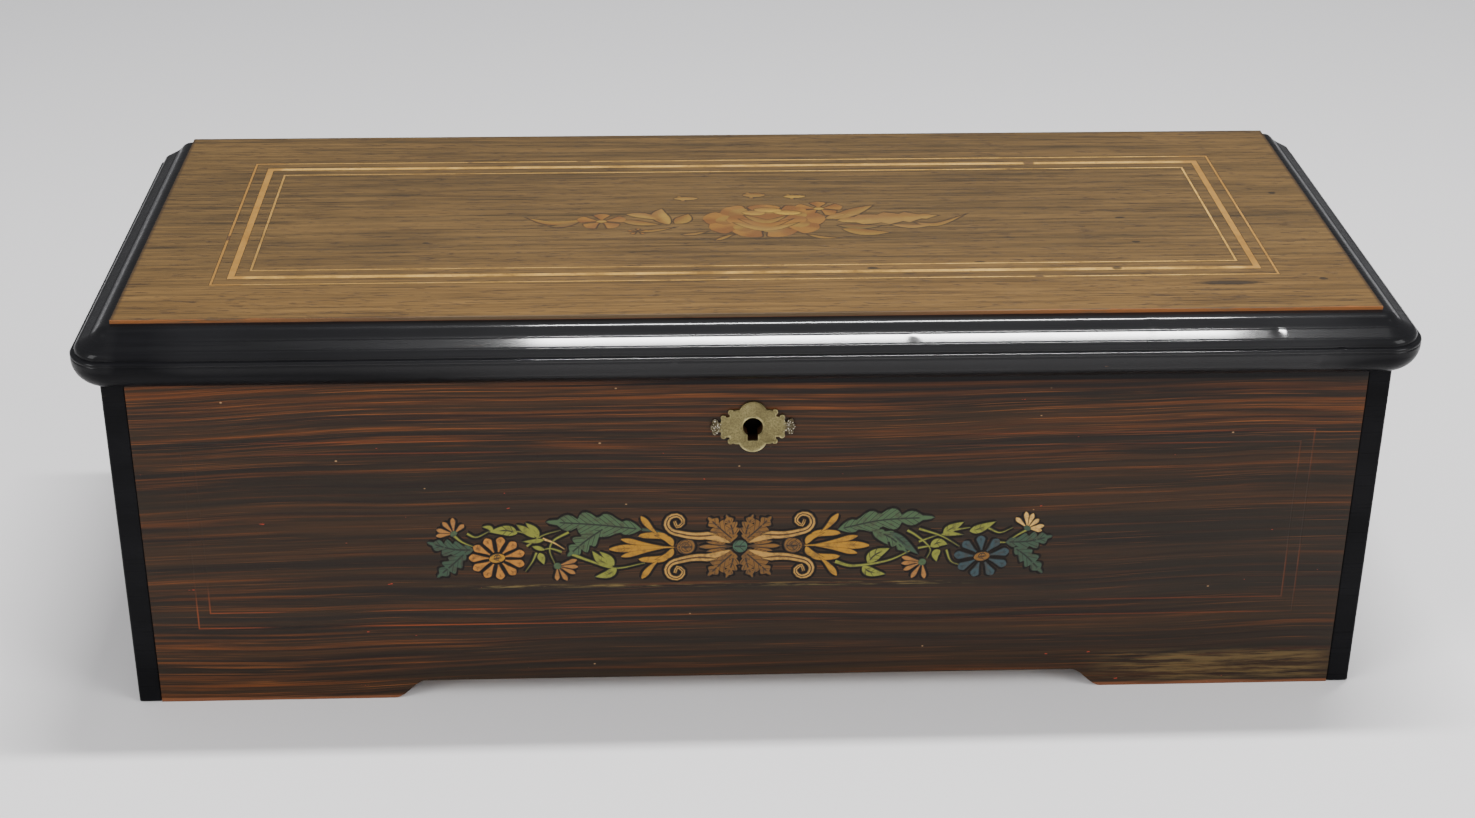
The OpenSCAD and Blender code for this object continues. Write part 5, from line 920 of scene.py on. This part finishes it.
def refine(node, finish, ease=0.0, crease=35):
    """A copy of a CAD node with its doubled points merged, its arrises eased by a bevel of the given
    width in millimetres, and its flat faces shaded flat. It replaces the node."""
    shape = bmesh.new()
    shape.from_mesh(frame["nodes"][node].data)
    bmesh.ops.remove_doubles(shape, verts=shape.verts, dist=2e-6)
    mesh = bpy.data.meshes.new(node + "_finished")
    shape.to_mesh(mesh)
    shape.free()
    mesh.materials.clear()
    mesh.materials.append(finish.material)
    mesh.shade_smooth()
    mesh.set_sharp_from_angle(angle=math.radians(crease))
    made = bpy.data.objects.new(node + "_finished", mesh)
    bpy.context.scene.collection.objects.link(made)
    if ease:
        bevel = made.modifiers.new("eased_arris", "BEVEL")
        bevel.width, bevel.segments, bevel.limit_method = ease / 1000, 2, "ANGLE"
        bevel.angle_limit = math.radians(40)
    even = made.modifiers.new("even_shading", "WEIGHTED_NORMAL")
    even.weight, even.keep_sharp = 80, True
    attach(made, bodies[node])
    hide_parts(node)
    return made


def wood(name, dark, light, run=(0.012, 0.35, 0.35), rough=0.6, stain=(0, 0, 0)):
    """Planed wood: growth lines stretched along the board's run, fine pores, and clouds of stain."""
    board = Finish(name, Specular_IOR_Level=0.25)
    growth = board.noise(board.place(run, stain), 1, 5, 0.65, 0.4)
    pore = board.rise(board.mottle(tuple(4 * along for along in run), 2), 0.60, 0.70)
    cloud = board.mottle((0.012, 0.012, 0.012), shift=stain)
    hue = board.layers(board.ramp(growth, (0.32, dark), (0.62, light)), (dark, pore * 0.6),
                       (dark, board.rise(cloud, 0.45, 0.70) * 0.5))
    return board.show(hue, rough + pore * 0.15, growth * 0.6 + (1 - pore) * 0.4, 0.12)


for name in ("left_end", "right_end"):
    refine(name, ebony, 0.8)
stained_back = wood("stained_back", paint(24, 17, 13), paint(58, 38, 26), stain=(3, 0, 1))
finish_node("back_board", stained_back)
spruce = wood("bare_spruce", paint(132, 98, 62), paint(178, 142, 98), (0.012, 0.5, 0.5))
finish_node("bottom_board", spruce)
beech = wood("bearer_beech", paint(120, 84, 54), paint(160, 120, 82), (0.5, 0.012, 0.5))
refine("bed_bearers", beech, 0.4)
black_wood = wood("black_stained_wood", paint(14, 12, 12), paint(34, 29, 27), (0.3, 0.02, 0.3), 0.5)
for name in ("left_partition", "right_partition"):
    refine(name, black_wood, 0.5)
rail_wood = wood("black_rails", paint(14, 12, 12), paint(32, 28, 26), rough=0.45, stain=(1, 2, 3))
for name in ("glass_ledges", "glass_frame", "lid_frame"):
    refine(name, rail_wood, 0.4)
refine("lid_board", wood("lid_core_wood", paint(58, 34, 22), paint(104, 66, 42), stain=(5, 1, 0)))


# Keyhole plate: stamped brass with a rolled rim and a sunk, matted field, held by small pins at the
# crowned tips. Handling has left it dull and greenish and the tips dark. The sunk field is darkened
# with painted shade, and the tips carry painted glints.
def metal(name, dark, light, rough=0.3, brushed=(0.25, 0.25, 0.25), tarnish=0.35, stain=(0, 0, 0)):
    """Worn metal: two tones in soft clouds, hairlines along one axis, and tarnish in patches."""
    skin = Finish(name, Metallic=1.0)
    cloud = skin.mottle((0.08, 0.08, 0.08), 4, 0.6, stain)
    hairs = skin.mottle(brushed, 3, 0.7, stain)
    patch = skin.rise(skin.mottle((0.2, 0.2, 0.2), 4, 0.65, stain), 0.5, 0.72)
    hue = skin.mix(skin.ramp(cloud, (0.3, dark), (0.7, light)), dark, patch * tarnish)
    return skin.show(hue, rough + hairs * 0.16 + patch * 0.12, hairs * 0.7 + cloud * 0.3, 0.02)


rim_width, field_depth = 0.0007, 0.0005
plate_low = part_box("escutcheon")[0] * 1000
plate_brass = Finish("dull_plate_brass", Metallic=1.0)
x, y = plate_brass.axes()[:2]
cloud = plate_brass.mottle((0.15, 0.15, 0.15), 4, 0.6)
matted = plate_brass.mottle((1.6, 1.6, 1.6), 3, 0.7)
# Painted shade: the sunk field behind the plate's face is painted darker, broken up by the matting.
sunk_shade = plate_brass.rise(y - plate_low.y, 0.15, 0.4)
sunk_shade = sunk_shade * plate_brass.ramp(matted, (0.35, grey(0.85)), (0.65, grey(0.25)))
tips = plate_brass.rise(abs(x), 11.2, 13.6)
# Painted highlights: pale specks on the tips stand for glints of light.
painted_glints = plate_brass.rise(plate_brass.mottle((1.9, 1.9, 1.9), 2, shift=(5, 0, 3)), 0.56, 0.66)
hue = plate_brass.ramp(cloud, (0.3, paint(104, 96, 66)), (0.7, paint(158, 148, 104)))
hue = plate_brass.layers(hue, (paint(86, 78, 50), sunk_shade), (paint(58, 50, 40), tips * 0.80),
                         (paint(206, 200, 184), tips * painted_glints * 0.8))
plate_brass.show(hue, 0.40 + matted * 0.2, matted, 0.12)
plate = refine("escutcheon", plate_brass, crease=30)
stamped = bmesh.new()
stamped.from_mesh(plate.data)
field = [face for face in stamped.faces if face.normal.y < -0.9]
bmesh.ops.inset_region(stamped, faces=field, thickness=rim_width, depth=-field_depth, use_even_offset=True)
stamped.to_mesh(plate.data)
stamped.free()

# Fittings: cast hinges and lock plates in yellow brass, an iron lock case coloured near black all over
# as painted shade seen through the keyhole, turned pins and a filed bolt in bright steel, and blued
# screws and springs.
fitting = metal("fitting_brass", paint(140, 104, 48), paint(204, 166, 92), 0.30)
# Painted shade: the lock case is near black so that the keyhole in front of it reads dark.
refine("lock_case", metal("japanned_iron", paint(14, 12, 11), paint(34, 30, 26), 0.5))
for name in ("lock_strike", "case_hinge_leaves", "lid_hinge_leaves", "case_screws", "lid_screws",
             "glass_hinge_leaves", "glass_hinge_plates", "glass_knob"):
    refine(name, fitting)
steel = metal("bright_steel", paint(132, 132, 134), paint(186, 187, 190), 0.26)
for name in ("lock_bolt", "hinge_pins", "winding_arbor", "ratchet_wheel", "lever_pawl", "click",
             "cylinder_arbor", "drive_pinion", "fly"):
    refine(name, steel)
blued = metal("blued_steel", paint(22, 26, 48), paint(48, 58, 104), 0.24)
for name in ("movement_screws", "click_fittings", "mainspring"):
    refine(name, blued)

# Inner lid's pane: thin drawn glass, faintly green, with slow ripples, let into the black frame.
glass = Finish("drawn_glass", Transmission_Weight=1.0, IOR=1.5, Roughness=0.02)
ripple = glass.mottle((0.02, 0.006, 0.02), 2)
glass.show(glass.ramp(ripple, (0.3, (0.90, 0.96, 0.93, 1)), (0.7, (0.95, 0.98, 0.96, 1))), None, ripple, 0.02)
finish_node("glass_pane", glass)

# Movement: the bedplate, bridges and comb base are cast brass, filed and lacquered. The wheels are
# cut from brass plate, the cylinder is drawn brass with steel pins, and the hardened steel comb
# carries lead weights.
cast = metal("cast_brass", paint(150, 118, 58), paint(206, 174, 106), 0.30, (0.05, 0.6, 0.6), 0.3)
for name in ("bedplate", "left_bridge", "right_bridge", "barrel_bracket", "comb_base",
             "governor_frame", "winding_lever", "control_plate", "stop_lever", "change_lever"):
    refine(name, cast, 0.25)
wheel = metal("wheel_brass", paint(164, 130, 62), paint(222, 188, 112), 0.22, (0.3, 0.3, 0.3), 0.25,
              (4, 2, 0))
for name in ("spring_barrel", "barrel_cover", "great_wheel", "snail_cam", "second_wheel", "worm_wheel"):
    refine(name, wheel)
drum = metal("cylinder_brass", paint(160, 130, 70), paint(214, 184, 116), 0.24, (1.5, 0.05, 0.05), 0.3,
             (1, 5, 2))
refine("pinned_cylinder", drum)
finish_node("cylinder_pins", metal("pin_steel", paint(120, 116, 110), paint(190, 186, 178), 0.3))
comb_steel = metal("comb_steel", paint(128, 130, 134), paint(190, 192, 196), 0.2, (0.9, 0.04, 0.9), 0.25,
                   (2, 2, 7))
refine("comb", comb_steel, crease=12)
finish_node("comb_weights", metal("lead", paint(84, 84, 86), paint(122, 122, 126), 0.55))
